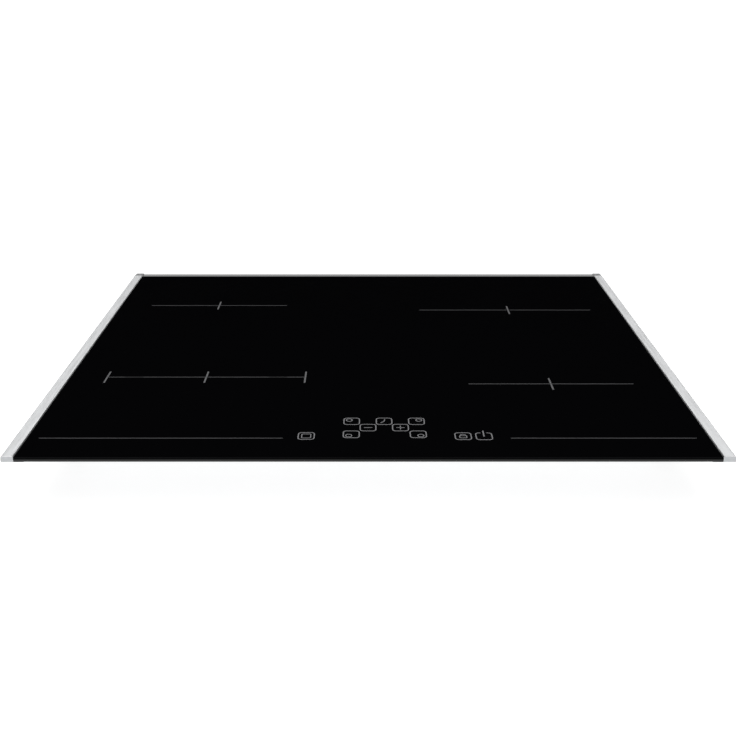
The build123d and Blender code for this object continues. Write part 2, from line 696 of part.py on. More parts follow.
def main():
    """Write every node."""
    os.makedirs("parts", exist_ok=True)
    save("glass_top", glass_top())
    save("zone_markings", *zone_markings())
    save("control_markings", *control_markings())
    save("side_trim_right", side_trim())
    save("side_trim_left", mirror(side_trim(), about=Plane.YZ))
    save("rim_gasket", rim_gasket())
    save("support_frame", support_frame())
    save("bottom_casing", bottom_casing())
    save("casing_screws", *casing_screws())
    save("insulation_sheets", *insulation_sheets())
    for name, zone in ZONES.items():
        save(f"coil_winding_{name}", *coil_winding(name, zone))
        save(f"coil_carrier_{name}", coil_carrier(zone))
        save(f"coil_ferrites_{name}", *coil_ferrites(zone))
        save(f"coil_sensor_{name}", coil_sensor(zone))
        save(f"coil_springs_{name}", *coil_springs(zone))
    for name, side in (("left", -1), ("right", 1)):
        save(f"coil_tray_{name}", coil_tray(side))
        save(f"power_board_{name}", *power_board(side))
        save(f"heatsink_{name}", heatsink(side))
        save(f"board_components_{name}", *board_components(side))
        save(f"fan_housing_{name}", fan_housing(side))
        save(f"fan_rotor_{name}", fan_rotor(side))
    save("filter_board", *filter_board())
    save("terminal_housing", terminal_housing())
    save("terminal_cover", terminal_cover())
    save("terminal_block", terminal_block())
    save("cable_clamp", *cable_clamp())
    save("touch_board_holder", touch_board_holder())
    save("touch_board", *touch_board())
    save("internal_wiring", *mains_leads(), *supply_leads(-1), *supply_leads(1), *ribbon_cable())
    save("clamp_brackets", *clamp_brackets())
    save("clamp_screws", *clamp_screws())
    for name, side, y in clamp_places():
        save(f"clamp_nut_{name}", clamp_nut(side, y))
        save(f"clamp_arm_{name}", clamp_arm(side, y))


main()
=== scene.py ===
"""Looks of a built-in electric induction hob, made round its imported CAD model.

Metres, +X right, +Y to the rear, +Z up. The origin is the middle of the casing's bottom face.
"""
import json
import logging
import math
from dataclasses import dataclass, field
from enum import Enum
from typing import Any, Callable, Optional, Sequence

import bmesh
import bpy
from mathutils import Matrix, Vector


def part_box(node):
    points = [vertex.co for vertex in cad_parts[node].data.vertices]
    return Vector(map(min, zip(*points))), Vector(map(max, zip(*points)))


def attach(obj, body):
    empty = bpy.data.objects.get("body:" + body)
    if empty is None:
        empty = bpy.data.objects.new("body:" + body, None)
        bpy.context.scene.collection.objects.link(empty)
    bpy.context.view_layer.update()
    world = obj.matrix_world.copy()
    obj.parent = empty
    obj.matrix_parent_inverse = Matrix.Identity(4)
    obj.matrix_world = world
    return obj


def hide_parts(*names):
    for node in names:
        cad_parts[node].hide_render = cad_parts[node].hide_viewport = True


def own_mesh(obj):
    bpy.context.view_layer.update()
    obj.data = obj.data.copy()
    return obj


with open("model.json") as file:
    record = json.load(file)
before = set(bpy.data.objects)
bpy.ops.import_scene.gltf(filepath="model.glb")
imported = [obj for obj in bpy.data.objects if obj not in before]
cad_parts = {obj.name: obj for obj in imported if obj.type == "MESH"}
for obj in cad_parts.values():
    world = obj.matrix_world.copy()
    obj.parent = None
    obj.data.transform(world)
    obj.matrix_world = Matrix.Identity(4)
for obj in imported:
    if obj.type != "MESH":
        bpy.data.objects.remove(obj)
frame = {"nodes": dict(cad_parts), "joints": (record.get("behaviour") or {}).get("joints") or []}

MM = 0.001
LOG = logging.getLogger("hob")
WELD = 1e-7
WIRE_SIDES = 8
STRAIGHT = (0.0, 0.0, 0.0)
EVEN = (1.0, 1.0, 1.0)
Point2 = tuple[float, float]
Point3 = tuple[float, float, float]
Place = tuple[Point3, Point3]
Tree = bpy.types.NodeTree
Node = bpy.types.Node
Socket = bpy.types.NodeSocket
Plugs = dict[str, Socket]
Mesh = bpy.types.Mesh
Object = bpy.types.Object
Chooser = Callable[[Vector, Vector, Vector], "Finish"]


# ---- Small tools -------------------------------------------------------------------
def linear(hex_colour: str) -> tuple[float, float, float, float]:
    """Turn an sRGB hex colour into linear RGBA.

    Args:
        hex_colour: Six hex digits after a hash sign.
    Returns:
        Linear red, green, blue and an alpha of 1.
    """
    parts = [int(hex_colour[i : i + 2], 16) / 255 for i in (1, 3, 5)]
    red, green, blue = [p / 12.92 if p <= 0.04045 else ((p + 0.055) / 1.055) ** 2.4 for p in parts]
    return red, green, blue, 1.0


def add_node(tree: Tree, kind: str, inputs: Optional[dict] = None, **settings: Any) -> Node:
    """Add one node, with its settings, its fixed inputs and its links.

    Args:
        tree: The node tree.
        kind: The node's type name.
        inputs: Socket name or number to a value, or to the output socket linked to it.
        settings: The node's own properties.
    Returns:
        The new node.
    """
    node = tree.nodes.new(kind)
    for name, value in settings.items():
        setattr(node, name, value)
    for key, value in (inputs or {}).items():
        if isinstance(value, Socket):
            tree.links.new(value, node.inputs[key])
        else:
            node.inputs[key].default_value = value
    return node


def arc(centre: Point2, radius: float, start: float, end: float, steps: int) -> list[Point2]:
    """Points on an arc.

    Args:
        centre: The arc's centre.
        radius: Its radius.
        start: First angle in degrees.
        end: Last angle in degrees.
        steps: How many straight steps it takes.
    Returns:
        The points, both ends included.
    """
    angles = [math.radians(start + (end - start) * i / steps) for i in range(steps + 1)]
    return [(centre[0] + radius * math.cos(a), centre[1] + radius * math.sin(a)) for a in angles]


def linked(name: str, data: Any) -> Object:
    """Link a new object to the scene, at the origin."""
    thing = bpy.data.objects.new(name, data)
    bpy.context.scene.collection.objects.link(thing)
    return thing


def evaluated(thing: Object) -> Mesh:
    """The mesh that an object's modifiers make of it."""
    return bpy.data.meshes.new_from_object(thing.evaluated_get(bpy.context.evaluated_depsgraph_get()))


def cleaned(mesh: Mesh) -> Mesh:
    """Weld a mesh's doubled points and turn its faces outwards, in place.

    Args:
        mesh: The mesh.
    Returns:
        The same mesh.
    """
    shape = bmesh.new()
    shape.from_mesh(mesh)
    bmesh.ops.remove_doubles(shape, verts=shape.verts, dist=WELD)
    bmesh.ops.recalc_face_normals(shape, faces=shape.faces)
    shape.to_mesh(mesh)
    shape.free()
    return mesh


def smoothed(mesh: Mesh, sharp: float) -> None:
    """Shade a mesh smooth, except at edges sharper than an angle in degrees."""
    mesh.polygons.foreach_set("use_smooth", [True] * len(mesh.polygons))
    mesh.set_sharp_from_angle(angle=math.radians(sharp))


def piece_from(name: str, mesh: Mesh, finish: "Finish", smooth: float) -> Object:
    """Link a mesh as a finished object at the origin.

    Args:
        name: The piece's name.
        mesh: Its mesh, in place.
        finish: What it is made of.
        smooth: Edges sharper than this many degrees stay sharp.
    Returns:
        The object.
    """
    smoothed(cleaned(mesh), smooth)
    mesh.materials.clear()
    mesh.materials.append(finish.material())
    mesh.name = name
    return linked(name, mesh)


def prism(outline: Sequence[Point2], place: Callable[[float, float, float], Point3], ends: Point2) -> Mesh:
    """A straight prism.

    Args:
        outline: Closed outline of the section.
        place: Turns (outline x, outline y, distance along) into a point.
        ends: Where the prism starts and ends.
    Returns:
        The mesh.
    """
    count = len(outline)
    points = [place(a, b, end) for end in ends for a, b in outline]
    sides = [(i, (i + 1) % count, count + (i + 1) % count, count + i) for i in range(count)]
    mesh = bpy.data.meshes.new("prism")
    mesh.from_pydata(points, [], sides + [tuple(range(count)), tuple(range(count, 2 * count))])
    return mesh


def lofted(rows: Sequence[Sequence[Point3]], closed: bool = False) -> Mesh:
    """A closed skin through rings with equal numbers of points.

    Args:
        rows: The rings, in order.
        closed: Whether the last ring joins the first; otherwise both ends are capped.
    Returns:
        The mesh.
    """
    count = len(rows[0])
    faces = []
    for i in range(len(rows) if closed else len(rows) - 1):
        here, there = i * count, (i + 1) % len(rows) * count
        for j in range(count):
            k = (j + 1) % count
            faces.append((here + j, here + k, there + k, there + j))
    if not closed:
        last = (len(rows) - 1) * count
        faces += [tuple(range(count)), tuple(range(last, last + count))]
    mesh = bpy.data.meshes.new("loft")
    mesh.from_pydata([point for row in rows for point in row], [], faces)
    return mesh


def joined(meshes: Sequence[Mesh]) -> Mesh:
    """Put several meshes into one.

    Args:
        meshes: The meshes, which are removed.
    Returns:
        The joined mesh.
    """
    shape = bmesh.new()
    for mesh in meshes:
        shape.from_mesh(mesh)
    result = bpy.data.meshes.new("joined")
    shape.to_mesh(result)
    shape.free()
    for mesh in meshes:
        bpy.data.meshes.remove(mesh)
    return result


# ---- Finishes ----------------------------------------------------------------------
@dataclass(frozen=True)
class Finish:
    """What a surface is made of, with typical values for the material."""

    name: str
    colour: str
    roughness: float
    metallic: float = 0.0
    ior: float = 1.5

    def material(self) -> bpy.types.Material:
        """The node material, made on first use."""
        found = bpy.data.materials.get(self.name)
        if found:
            return found
        material = bpy.data.materials.new(self.name)
        material.use_nodes = True
        tree = material.node_tree
        tree.nodes.clear()
        place = add_node(tree, "ShaderNodeTexCoord").outputs["Object"]
        plain = {
            "Base Color": linear(self.colour), "Roughness": self.roughness,
            "Metallic": self.metallic, "IOR": self.ior,
        }
        shader = add_node(tree, "ShaderNodeBsdfPrincipled", plain | self.detail(tree, place))
        add_node(tree, "ShaderNodeOutputMaterial", {"Surface": shader.outputs["BSDF"]})
        return material

    def detail(self, tree: Tree, place: Socket) -> Plugs:
        """The surface's own pattern: a plain finish has a fine moulded grain."""
        return self.speckle(tree, place, grain_mm=0.5, height_mm=0.04, shade=0.12)

    def darker(self, share: float) -> list[float]:
        """The finish's colour, darkened by a share."""
        return [part * (1 - share) for part in linear(self.colour)[:3]] + [1.0]

    def speckle(self, tree: Tree, place: Socket, grain_mm: float, height_mm: float, shade: float) -> Plugs:
        """A grain: bump, a little roughness change and a little colour change.

        Args:
            tree: The material's nodes.
            place: Coordinates in metres, stretched or not.
            grain_mm: Size of a grain.
            height_mm: Height of the grain.
            shade: How far the colour changes, as a share.
        Returns:
            Sockets for the shader.
        """
        grain = add_node(tree, "ShaderNodeTexNoise", {
            "Vector": place, "Scale": 1 / (grain_mm * MM), "Detail": 3.0,
        })
        rough = add_node(tree, "ShaderNodeMapRange", {
            "Value": grain.outputs["Fac"], "From Min": 0.3, "From Max": 0.7,
            "To Min": self.roughness * 0.88, "To Max": min(1.0, self.roughness * 1.12),
        })
        tint = add_node(tree, "ShaderNodeMix", {
            0: grain.outputs["Fac"], 6: self.darker(shade), 7: linear(self.colour),
        }, data_type="RGBA")
        bump = add_node(tree, "ShaderNodeBump", {
            "Height": grain.outputs["Fac"], "Distance": height_mm * MM, "Strength": 0.6,
        })
        return {"Roughness": rough.outputs[0], "Base Color": tint.outputs[2], "Normal": bump.outputs[0]}


@dataclass(frozen=True)
class GlassCeramic(Finish):
    """Rolled and polished black glass-ceramic: near-black body, mirror gloss, a very slight waviness.

    Its front edge has painted shade: it mirrors fully at its foot and hardly at all above a set height, which
    hides the highlight on its round.
    """

    wave_mm: float = 90.0
    smear_mm: float = 40.0
    mirror: float = 0.5
    # Front edge reflection: full at its foot; the low value above a set height is painted shade.
    foot_mirror: float = 0.43
    dull_mirror: float = 0.015
    edge_y: float = -260.1 * MM
    edge_blend: float = 0.1 * MM
    dull_z: float = 54.2 * MM
    clear_z: float = 52.1 * MM

    def detail(self, tree: Tree, place: Socket) -> Plugs:
        """Wiped-glass roughness in soft patches, the waviness of rolled glass, painted shade on the front
        edge.

        Args:
            tree: The material's nodes.
            place: Object coordinates in metres.
        Returns:
            Sockets for the shader.
        """
        split = add_node(tree, "ShaderNodeSeparateXYZ", {"Vector": place})
        inside = add_node(tree, "ShaderNodeMapRange", {
            "Value": split.outputs["Y"], "From Min": self.edge_y, "From Max": self.edge_y + self.edge_blend,
            "To Max": self.mirror,
        })
        # Painted shade: the front edge reflects less and less upwards from its foot, taking the highlight off
        # its round.
        painted_edge_shade = add_node(tree, "ShaderNodeMapRange", {
            "Value": split.outputs["Z"], "From Min": self.dull_z, "From Max": self.clear_z,
            "To Min": self.dull_mirror, "To Max": self.foot_mirror,
        }, interpolation_type="SMOOTHSTEP")
        level = add_node(tree, "ShaderNodeMath", {
            0: inside.outputs[0], 1: painted_edge_shade.outputs[0],
        }, operation="MAXIMUM")
        smear = add_node(tree, "ShaderNodeTexNoise", {
            "Vector": place, "Scale": 1 / (self.smear_mm * MM), "Detail": 4.0, "Distortion": 0.6,
        })
        rough = add_node(tree, "ShaderNodeMapRange", {
            "Value": smear.outputs["Fac"], "From Min": 0.45, "From Max": 0.75,
            "To Min": self.roughness, "To Max": self.roughness * 1.8,
        })
        wave = add_node(tree, "ShaderNodeTexNoise", {
            "Vector": place, "Scale": 1 / (self.wave_mm * MM), "Detail": 1.0,
        })
        bump = add_node(tree, "ShaderNodeBump", {
            "Height": wave.outputs["Fac"], "Distance": 0.02 * MM, "Strength": 0.5,
        })
        return {
            "Specular IOR Level": level.outputs[0], "Roughness": rough.outputs[0], "Normal": bump.outputs[0],
        }


@dataclass(frozen=True)
class BrushedMetal(Finish):
    """Extruded or brushed metal: satin, with fine lines along one axis."""

    line_mm: float = 0.9
    lengthen: Point3 = (1.0, 0.02, 1.0)

    def detail(self, tree: Tree, place: Socket) -> Plugs:
        """Long fine lines; real ones are about 0.1 mm apart and are drawn coarser so that they show."""
        drawn = add_node(tree, "ShaderNodeMapping", {"Vector": place, "Scale": self.lengthen})
        return self.speckle(tree, drawn.outputs["Vector"], self.line_mm, height_mm=0.004, shade=0.07)


@dataclass(frozen=True)
class GalvanisedSheet(Finish):
    """Hot-dip galvanised steel: zinc crystals that each catch the light differently."""

    crystal_mm: float = 9.0
    ragged_mm: float = 4.0
    ragged: Point3 = (0.003, 0.003, 0.003)
    shade: float = 0.16

    def detail(self, tree: Tree, place: Socket) -> Plugs:
        """Crystal patches in colour and roughness over a faint rolled grain.

        Args:
            tree: The material's nodes.
            place: Object coordinates in metres.
        Returns:
            Sockets for the shader.
        """
        warp = add_node(tree, "ShaderNodeTexNoise", {
            "Vector": place, "Scale": 1 / (self.ragged_mm * MM), "Detail": 2.0,
        })
        bent = add_node(tree, "ShaderNodeVectorMath", {
            0: warp.outputs["Color"], 1: self.ragged, 2: place,
        }, operation="MULTIPLY_ADD")
        cells = add_node(tree, "ShaderNodeTexVoronoi", {
            "Vector": bent.outputs["Vector"], "Scale": 1 / (self.crystal_mm * MM),
        })
        pick = add_node(tree, "ShaderNodeSeparateColor", {"Color": cells.outputs["Color"]})
        rough = add_node(tree, "ShaderNodeMapRange", {
            "Value": pick.outputs["Red"], "To Min": self.roughness * 0.82, "To Max": self.roughness * 1.2,
        })
        tint = add_node(tree, "ShaderNodeMix", {
            0: pick.outputs["Green"], 6: self.darker(self.shade), 7: linear(self.colour),
        }, data_type="RGBA")
        bump = add_node(tree, "ShaderNodeBump", {
            "Height": warp.outputs["Fac"], "Distance": 0.03 * MM, "Strength": 0.4,
        })
        return {"Roughness": rough.outputs[0], "Base Color": tint.outputs[2], "Normal": bump.outputs[0]}


@dataclass(frozen=True)
class Grained(Finish):
    """Any material whose surface is an even grain: moulded plastic, foam, enamel, ferrite, silicone."""

    grain_mm: float = 0.6
    height_mm: float = 0.03
    shade: float = 0.12

    def detail(self, tree: Tree, place: Socket) -> Plugs:
        """An even grain of the material's own size."""
        return self.speckle(tree, place, self.grain_mm, self.height_mm, self.shade)


@dataclass(frozen=True)
class MicaSheet(Finish):
    """Pressed mica paper: pearly overlapping flakes."""

    flake_mm: float = 3.0
    dark_flake: str = "#8D7B55"

    def detail(self, tree: Tree, place: Socket) -> Plugs:
        """Flakes in slightly different tones.

        Args:
            tree: The material's nodes.
            place: Object coordinates in metres.
        Returns:
            Sockets for the shader.
        """
        flakes = add_node(tree, "ShaderNodeTexVoronoi", {"Vector": place, "Scale": 1 / (self.flake_mm * MM)})
        pick = add_node(tree, "ShaderNodeSeparateColor", {"Color": flakes.outputs["Color"]})
        tint = add_node(tree, "ShaderNodeMix", {
            0: pick.outputs["Blue"], 6: linear(self.dark_flake), 7: linear(self.colour),
        }, data_type="RGBA")
        bump = add_node(tree, "ShaderNodeBump", {
            "Height": pick.outputs["Red"], "Distance": 0.02 * MM, "Strength": 0.5,
        })
        return {"Base Color": tint.outputs[2], "Normal": bump.outputs[0]}


@dataclass(frozen=True)
class CircuitBoard(Finish):
    """Glass-fibre board under green solder mask, with copper tracks raised below it."""

    track_mm: float = 2.4
    mask_between: str = "#16492A"
    over_track: str = "#2F7A44"

    def detail(self, tree: Tree, place: Socket) -> Plugs:
        """Tracks as the joints of a staggered brick pattern, lighter and slightly raised.

        Args:
            tree: The material's nodes.
            place: Object coordinates in metres.
        Returns:
            Sockets for the shader.
        """
        tracks = add_node(tree, "ShaderNodeTexBrick", {
            "Vector": place, "Color1": linear(self.colour), "Color2": linear(self.mask_between),
            "Mortar": linear(self.over_track), "Scale": 1.0, "Mortar Size": 0.3 * MM,
            "Brick Width": self.track_mm * 5 * MM, "Row Height": self.track_mm * MM,
        })
        bump = add_node(tree, "ShaderNodeBump", {
            "Height": tracks.outputs["Fac"], "Distance": 0.05 * MM, "Strength": 0.6,
        })
        return {"Base Color": tracks.outputs["Color"], "Normal": bump.outputs[0]}


def enamel(word: str, colour: str) -> Grained:
    """Ceramic enamel, screen printed and fired: grey, a little rough on the mirror-smooth glass."""
    return Grained(f"fired enamel, {word} print", colour, 0.5, grain_mm=0.5, height_mm=0.004, shade=0.15)


def jacket(word: str, colour: str) -> Grained:
    """The soft PVC of a lead's jacket."""
    return Grained(f"PVC lead jacket, {word}", colour, 0.4, grain_mm=0.8, height_mm=0.01, shade=0.08)


# Black glass-ceramic plate: tinted right through, so almost no light comes back but the mirror image.
BLACK_GLASS = GlassCeramic("black glass-ceramic", "#050506", 0.035, ior=1.53)
KEY_ENAMEL = enamel("key", "#747476")
TICK_ENAMEL = enamel("tick", "#5C5C5E")
LINE_ENAMEL = enamel("line", "#464648")
# The same enamel laid thinner, as on the two short stretches of the dual zone's line.
FAINT_ENAMEL = enamel("faint", "#242426")
# Satin anodised extrusion: bright, with a soft highlight drawn out along its length.
TRIM_ALUMINIUM = BrushedMetal("satin anodised aluminium", "#F0F1F2", 0.55, 1.0)
# The same extrusion where a cutter has run along it: smoother, so it mirrors more of the room.
BRIGHT_CUT = BrushedMetal("bright-cut aluminium", "#F6F7F8", 0.32, 1.0, line_mm=0.6)
# The same extrusion sawn across: dull, with fine saw marks.
SAWN_END = BrushedMetal("sawn aluminium", "#C9CBCD", 0.55, 1.0, line_mm=0.5, lengthen=(0.1, 1.0, 1.0))
# Closed-cell polyethylene foam: black, dull, small bubbles.
FOAM = Grained("closed-cell foam", "#1B1C1E", 0.95, grain_mm=0.9, height_mm=0.25, shade=0.4)
# Hot-dip galvanised sheet: mid-bright with crystals.
GALVANISED = GalvanisedSheet("hot-dip galvanised sheet", "#C9CDD0", 0.42, 1.0)
# Zinc-plated hardware: brighter and smoother than sheet.
ZINC = BrushedMetal("bright zinc plating", "#C4C4BE", 0.3, 1.0, line_mm=0.6, lengthen=(1.0, 1.0, 0.2))
# Rolled aluminium sheet.
SHEET_ALUMINIUM = BrushedMetal("rolled aluminium sheet", "#CFD1D3", 0.36, 1.0, line_mm=1.2)
HEATSINK = BrushedMetal("extruded aluminium", "#C6C8CB", 0.4, 1.0)
# Copper litz: fine enamelled strands, so satin rather than mirror-like.
COPPER = BrushedMetal("enamelled copper litz", "#C0714A", 0.38, 1.0, line_mm=0.5, lengthen=EVEN)
SPRING_WIRE = BrushedMetal("drawn spring steel", "#9A9DA1", 0.25, 1.0, line_mm=0.4, lengthen=EVEN)
FERRITE = Grained("sintered ferrite", "#33343A", 0.6, grain_mm=0.8, height_mm=0.03, shade=0.3)
MICA = MicaSheet("mica paper", "#CBBB8F", 0.38)
BOARD = CircuitBoard("solder mask on glass fibre", "#1C5A34", 0.35)
# Glass-filled polyamide mouldings.
BLACK_MOULDING = Grained("black glass-filled polyamide", "#1A1A1C", 0.5, grain_mm=0.7, height_mm=0.02)
FAN_MOULDING = Grained("black fan polyester", "#202124", 0.42, grain_mm=0.7, height_mm=0.015)
WHITE_MOULDING = Grained(
    "natural glass-filled polyamide", "#DAD6CA", 0.5, grain_mm=0.7, height_mm=0.02, shade=0.06,
)
GREY_MOULDING = Grained("grey polyamide", "#B7B8B2", 0.45, grain_mm=0.6, height_mm=0.02, shade=0.06)
SILICONE = Grained("silicone rubber", "#CFCBC0", 0.6, grain_mm=1.0, height_mm=0.02, shade=0.08)
DARK_EPOXY = Grained("moulded epoxy", "#232427", 0.45, grain_mm=0.4, height_mm=0.01)
LIVE_JACKET = jacket("brown", "#6B3B24")
NEUTRAL_JACKET = jacket("blue", "#2456A0")
EARTH_JACKET = jacket("green", "#4E9A3A")
RIBBON = BrushedMetal("grey PVC ribbon", "#9FA2A6", 0.45, line_mm=1.2, lengthen=(1.0, 0.02, 0.02))
# Polyester film capacitors in filled boxes, and shrink-sleeved electrolytic cans.
YELLOW_FILM = Grained(
    "polyester film capacitor box", "#C9A227", 0.45, grain_mm=0.5, height_mm=0.01, shade=0.08,
)
CAN_SLEEVE = Grained("PVC shrink sleeve", "#1E2A4A", 0.3, grain_mm=1.0, height_mm=0.008, shade=0.1)


class Side(Enum):
    """The hob's two sides, as the sign of X."""

    LEFT = -1
    RIGHT = 1

    @property
    def word(self) -> str:
        """The side's name in node names."""
        return self.name.lower()


class Zone(Enum):
    """The four corners: each has a cooking zone and a clamp."""

    FRONT_LEFT = "front_left"
    REAR_LEFT = "rear_left"
    FRONT_RIGHT = "front_right"
    REAR_RIGHT = "rear_right"


def settle(piece: Object, body: str, slot: str, *nodes: str) -> Object:
    """Fasten a finished piece to its body and let it stand for its CAD nodes.

    Args:
        piece: The finished piece.
        body: The body that it moves with.
        slot: The record's material slot; not used.
        nodes: CAD nodes that it stands for.
    Returns:
        The piece.
    """
    if nodes:
        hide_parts(*nodes)
    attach(piece, body)
    LOG.info("%s: %d faces on %s", piece.name, len(piece.data.polygons), body)
    return piece


# ---- Geometry nodes ------------------------------------------------------------------
class NodeShape:
    """A Geometry Nodes tree with named inputs, run once and turned into a plain mesh."""

    def __init__(self, name: str) -> None:
        """Start an empty tree.

        Args:
            name: The tree's name.
        """
        self.tree = bpy.data.node_groups.new(name, "GeometryNodeTree")
        self.tree.is_modifier = True
        self.tree.interface.new_socket("Geometry", in_out="OUTPUT", socket_type="NodeSocketGeometry")
        self.entry = self.tree.nodes.new("NodeGroupInput")
        self.values: dict[str, Any] = {}

    def value(self, name: str, amount: Any, kind: str = "Float") -> Socket:
        """Add a named input.

        Args:
            name: The input's name.
            amount: Its value.
            kind: Float, Int, Vector, Object or Material.
        Returns:
            The socket that carries it in the tree.
        """
        socket = self.tree.interface.new_socket(name, in_out="INPUT", socket_type=f"NodeSocket{kind}")
        self.values[socket.identifier] = amount
        return next(out for out in self.entry.outputs if out.identifier == socket.identifier)

    def bake(self, geometry: Socket, finish: Finish) -> Mesh:
        """End the tree, run it on an empty object and keep the plain mesh.

        Args:
            geometry: The socket with the shape.
            finish: The finish it is given.
        Returns:
            The mesh.
        """
        real = add_node(self.tree, "GeometryNodeRealizeInstances", {"Geometry": geometry})
        painted = add_node(self.tree, "GeometryNodeSetMaterial", {
            "Geometry": real.outputs[0], "Material": self.value("Finish", finish.material(), "Material"),
        })
        add_node(self.tree, "NodeGroupOutput", {0: painted.outputs[0]})
        holder = linked("holder", bpy.data.meshes.new("holder"))
        modifier = holder.modifiers.new("shape", "NODES")
        modifier.node_group = self.tree
        for identifier, amount in self.values.items():
            modifier[identifier] = amount
        mesh = evaluated(holder)
        bpy.data.objects.remove(holder)
        return mesh


# ---- Glass and trims ------------------------------------------------------------------
@dataclass
class GlassPlate:
    """The black plate: rounded front edge, shallow facet along the rear edge."""

    front_round: float = 1.0 * MM
    facet_run: float = 11.5 * MM
    facet_drop: float = 0.6 * MM
    edge_break: float = 0.5 * MM
    facet_lip: float = 0.3 * MM

    def build(self) -> None:
        """Make the plate as one long section between the trims."""
        low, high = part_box("glass_top")
        r = self.front_round
        outline = [(low.y + self.edge_break, low.z), (low.y, low.z + self.edge_break)]
        outline += arc((low.y + r, high.z - r), r, 180, 90, 14)
        outline += [
            (high.y - self.facet_run, high.z), (high.y - self.facet_lip, high.z - self.facet_drop),
            (high.y, high.z - self.facet_drop - self.facet_lip),
            (high.y, low.z + self.edge_break), (high.y - self.edge_break, low.z),
        ]
        plate = prism(outline, lambda a, b, c: (c, a, b), (low.x, high.x))
        piece = piece_from("glass_plate", plate, BLACK_GLASS, smooth=2)
        settle(piece, "hob", "black_glass_ceramic", "glass_top")


@dataclass
class SideTrims:
    """The two extruded side trims: satin top, bright-cut chamfer along the glass, sawn ends, rear facet."""

    chamfer: float = 0.45 * MM
    chamfer_drop: float = 0.4 * MM
    outer_round: float = 1.5 * MM
    foot_round: float = 0.6 * MM
    lip: float = 8.5 * MM
    lip_thick: float = 1.0 * MM
    facet_run: float = 11.5 * MM
    facet_drop: float = 0.6 * MM
    relief: float = 5.0 * MM
    sawn_break: float = 0.12 * MM
    top_band: float = 2.0 * MM
    facing_end: float = 0.9
    facing_glass: Point2 = (0.3, 0.95)
    facing_rear: Point2 = (0.01, 0.3)

    def outline(self, inner: float, outer: float, low: float, high: float) -> list[Point2]:
        """Section of the right-hand trim, from the chamfer round the outside to the lip.

        Args:
            inner: X of the glass edge.
            outer: X of the outside face.
            low: Bottom of the lip.
            high: Top of the trim.
        Returns:
            The closed outline.
        """
        top, foot = self.outer_round, self.foot_round
        lip, over = inner - self.lip, low + self.lip_thick
        return (
            [(inner, high - self.chamfer_drop), (inner + self.chamfer, high)]
            + arc((outer - top, high - top), top, 90, 0, 8)
            + arc((outer - foot, low + foot), foot, 0, -90, 4)
            + [(lip, low), (lip, over), (inner, over)]
        )

    def rings(self, low: Vector, high: Vector) -> list[tuple[float, float, float]]:
        """Find where the section stands along a trim.

        Args:
            low: The trim's lowest corner.
            high: Its highest corner.
        Returns:
            Y of each ring, how much its top drops and how far its foot is cut back.
        """
        end = self.sawn_break
        return [
            (low.y + end, end, self.lip_thick), (low.y + 2 * end, 0.0, self.lip_thick),
            (low.y + self.relief, 0.0, self.lip_thick), (low.y + self.relief + end, 0.0, 0.0),
            (high.y - self.facet_run, 0.0, 0.0), (high.y - end, self.facet_drop, 0.0),
        ]

    def build(self) -> None:
        """Make both trims from their sections."""
        glass_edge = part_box("glass_top")[1].x
        for side in Side:
            node = f"side_trim_{side.word}"
            low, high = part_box(node)
            outline = self.outline(glass_edge, max(abs(low.x), abs(high.x)), low.z, high.z)
            rows = []
            for y, drop, cut in self.rings(low, high):
                ring = []
                for x, z in outline:
                    fall = drop if z > high.z - self.top_band else 0
                    ring.append((side.value * x, y, max(z, low.z + cut) - fall))
                rows.append(ring)
            mesh = lofted(rows)
            piece = piece_from(node + "_profile", mesh, TRIM_ALUMINIUM, smooth=3)
            mesh.materials.append(BRIGHT_CUT.material())
            mesh.materials.append(SAWN_END.material())
            for face in mesh.polygons:
                face.material_index = self.finish_number(-side.value * face.normal.x, face.normal.y)
            settle(piece, "hob", "trim_aluminium", node)

    def finish_number(self, inward: float, rearward: float) -> int:
        """Tell a face's finish by the way it faces.

        Args:
            inward: How far its normal points to the glass.
            rearward: How far its normal points to the rear.
        Returns:
            2 for a sawn end, 1 for the chamfer and the rear facet, 0 for the rest.
        """
        if abs(rearward) > self.facing_end:
            return 2
        chamfer = self.facing_glass[0] < inward < self.facing_glass[1]
        facet = self.facing_rear[0] < rearward < self.facing_rear[1]
        return int(chamfer or facet)


# ---- Printed marks ----------------------------------------------------------------------
@dataclass
class Print:
    """Screen-printed strokes on the glass, all of one finish."""

    name: str
    slot: str
    finish: Finish
    level: float
    thick: float = 0.05 * MM
    sharpest: float = 0.4
    meshes: list[Mesh] = field(default_factory=list)

    def stroke(self, points: Sequence[Point2], width: float, closed: bool = False) -> None:
        """Add one stroke of constant width with mitred corners.

        Args:
            points: The middle line, in metres.
            width: The stroke's width.
            closed: Whether the line closes on itself.
        """
        count = len(points)
        spots = [Vector(p) for p in points]
        left, right = [], []
        for i, spot in enumerate(spots):
            ways = []
            if closed or i:
                ways.append((spot - spots[i - 1]).normalized())
            if closed or i < count - 1:
                ways.append((spots[(i + 1) % count] - spot).normalized())
            along = sum(ways, Vector((0, 0))).normalized()
            across = Vector((-along.y, along.x)) * (width / 2 / max(self.sharpest, along.dot(ways[0])))
            left.append(spot + across)
            right.append(spot - across)
        steps = count if closed else count - 1
        top = self.level + self.thick
        corners = [(p.x, p.y, z) for z in (self.level, top) for row in (left, right) for p in row]
        two, three = 2 * count, 3 * count
        faces = []
        for i in range(steps):
            j = (i + 1) % count
            faces += [(two + i, two + j, three + j, three + i), (i, count + i, count + j, j)]
            faces += [(i, j, two + j, two + i), (count + i, three + i, three + j, count + j)]
        if not closed:
            last = count - 1
            faces += [(0, two, three, count), (last, count + last, three + last, two + last)]
        mesh = bpy.data.meshes.new("stroke")
        mesh.from_pydata(corners, [], faces)
        self.meshes.append(mesh)

    def finish_print(self, *nodes: str) -> None:
        """Join the strokes into one piece.

        Args:
            nodes: CAD nodes that it stands for.
        """
        piece = piece_from(self.name, joined(self.meshes), self.finish, smooth=10)
        settle(piece, "hob", self.slot, *nodes)


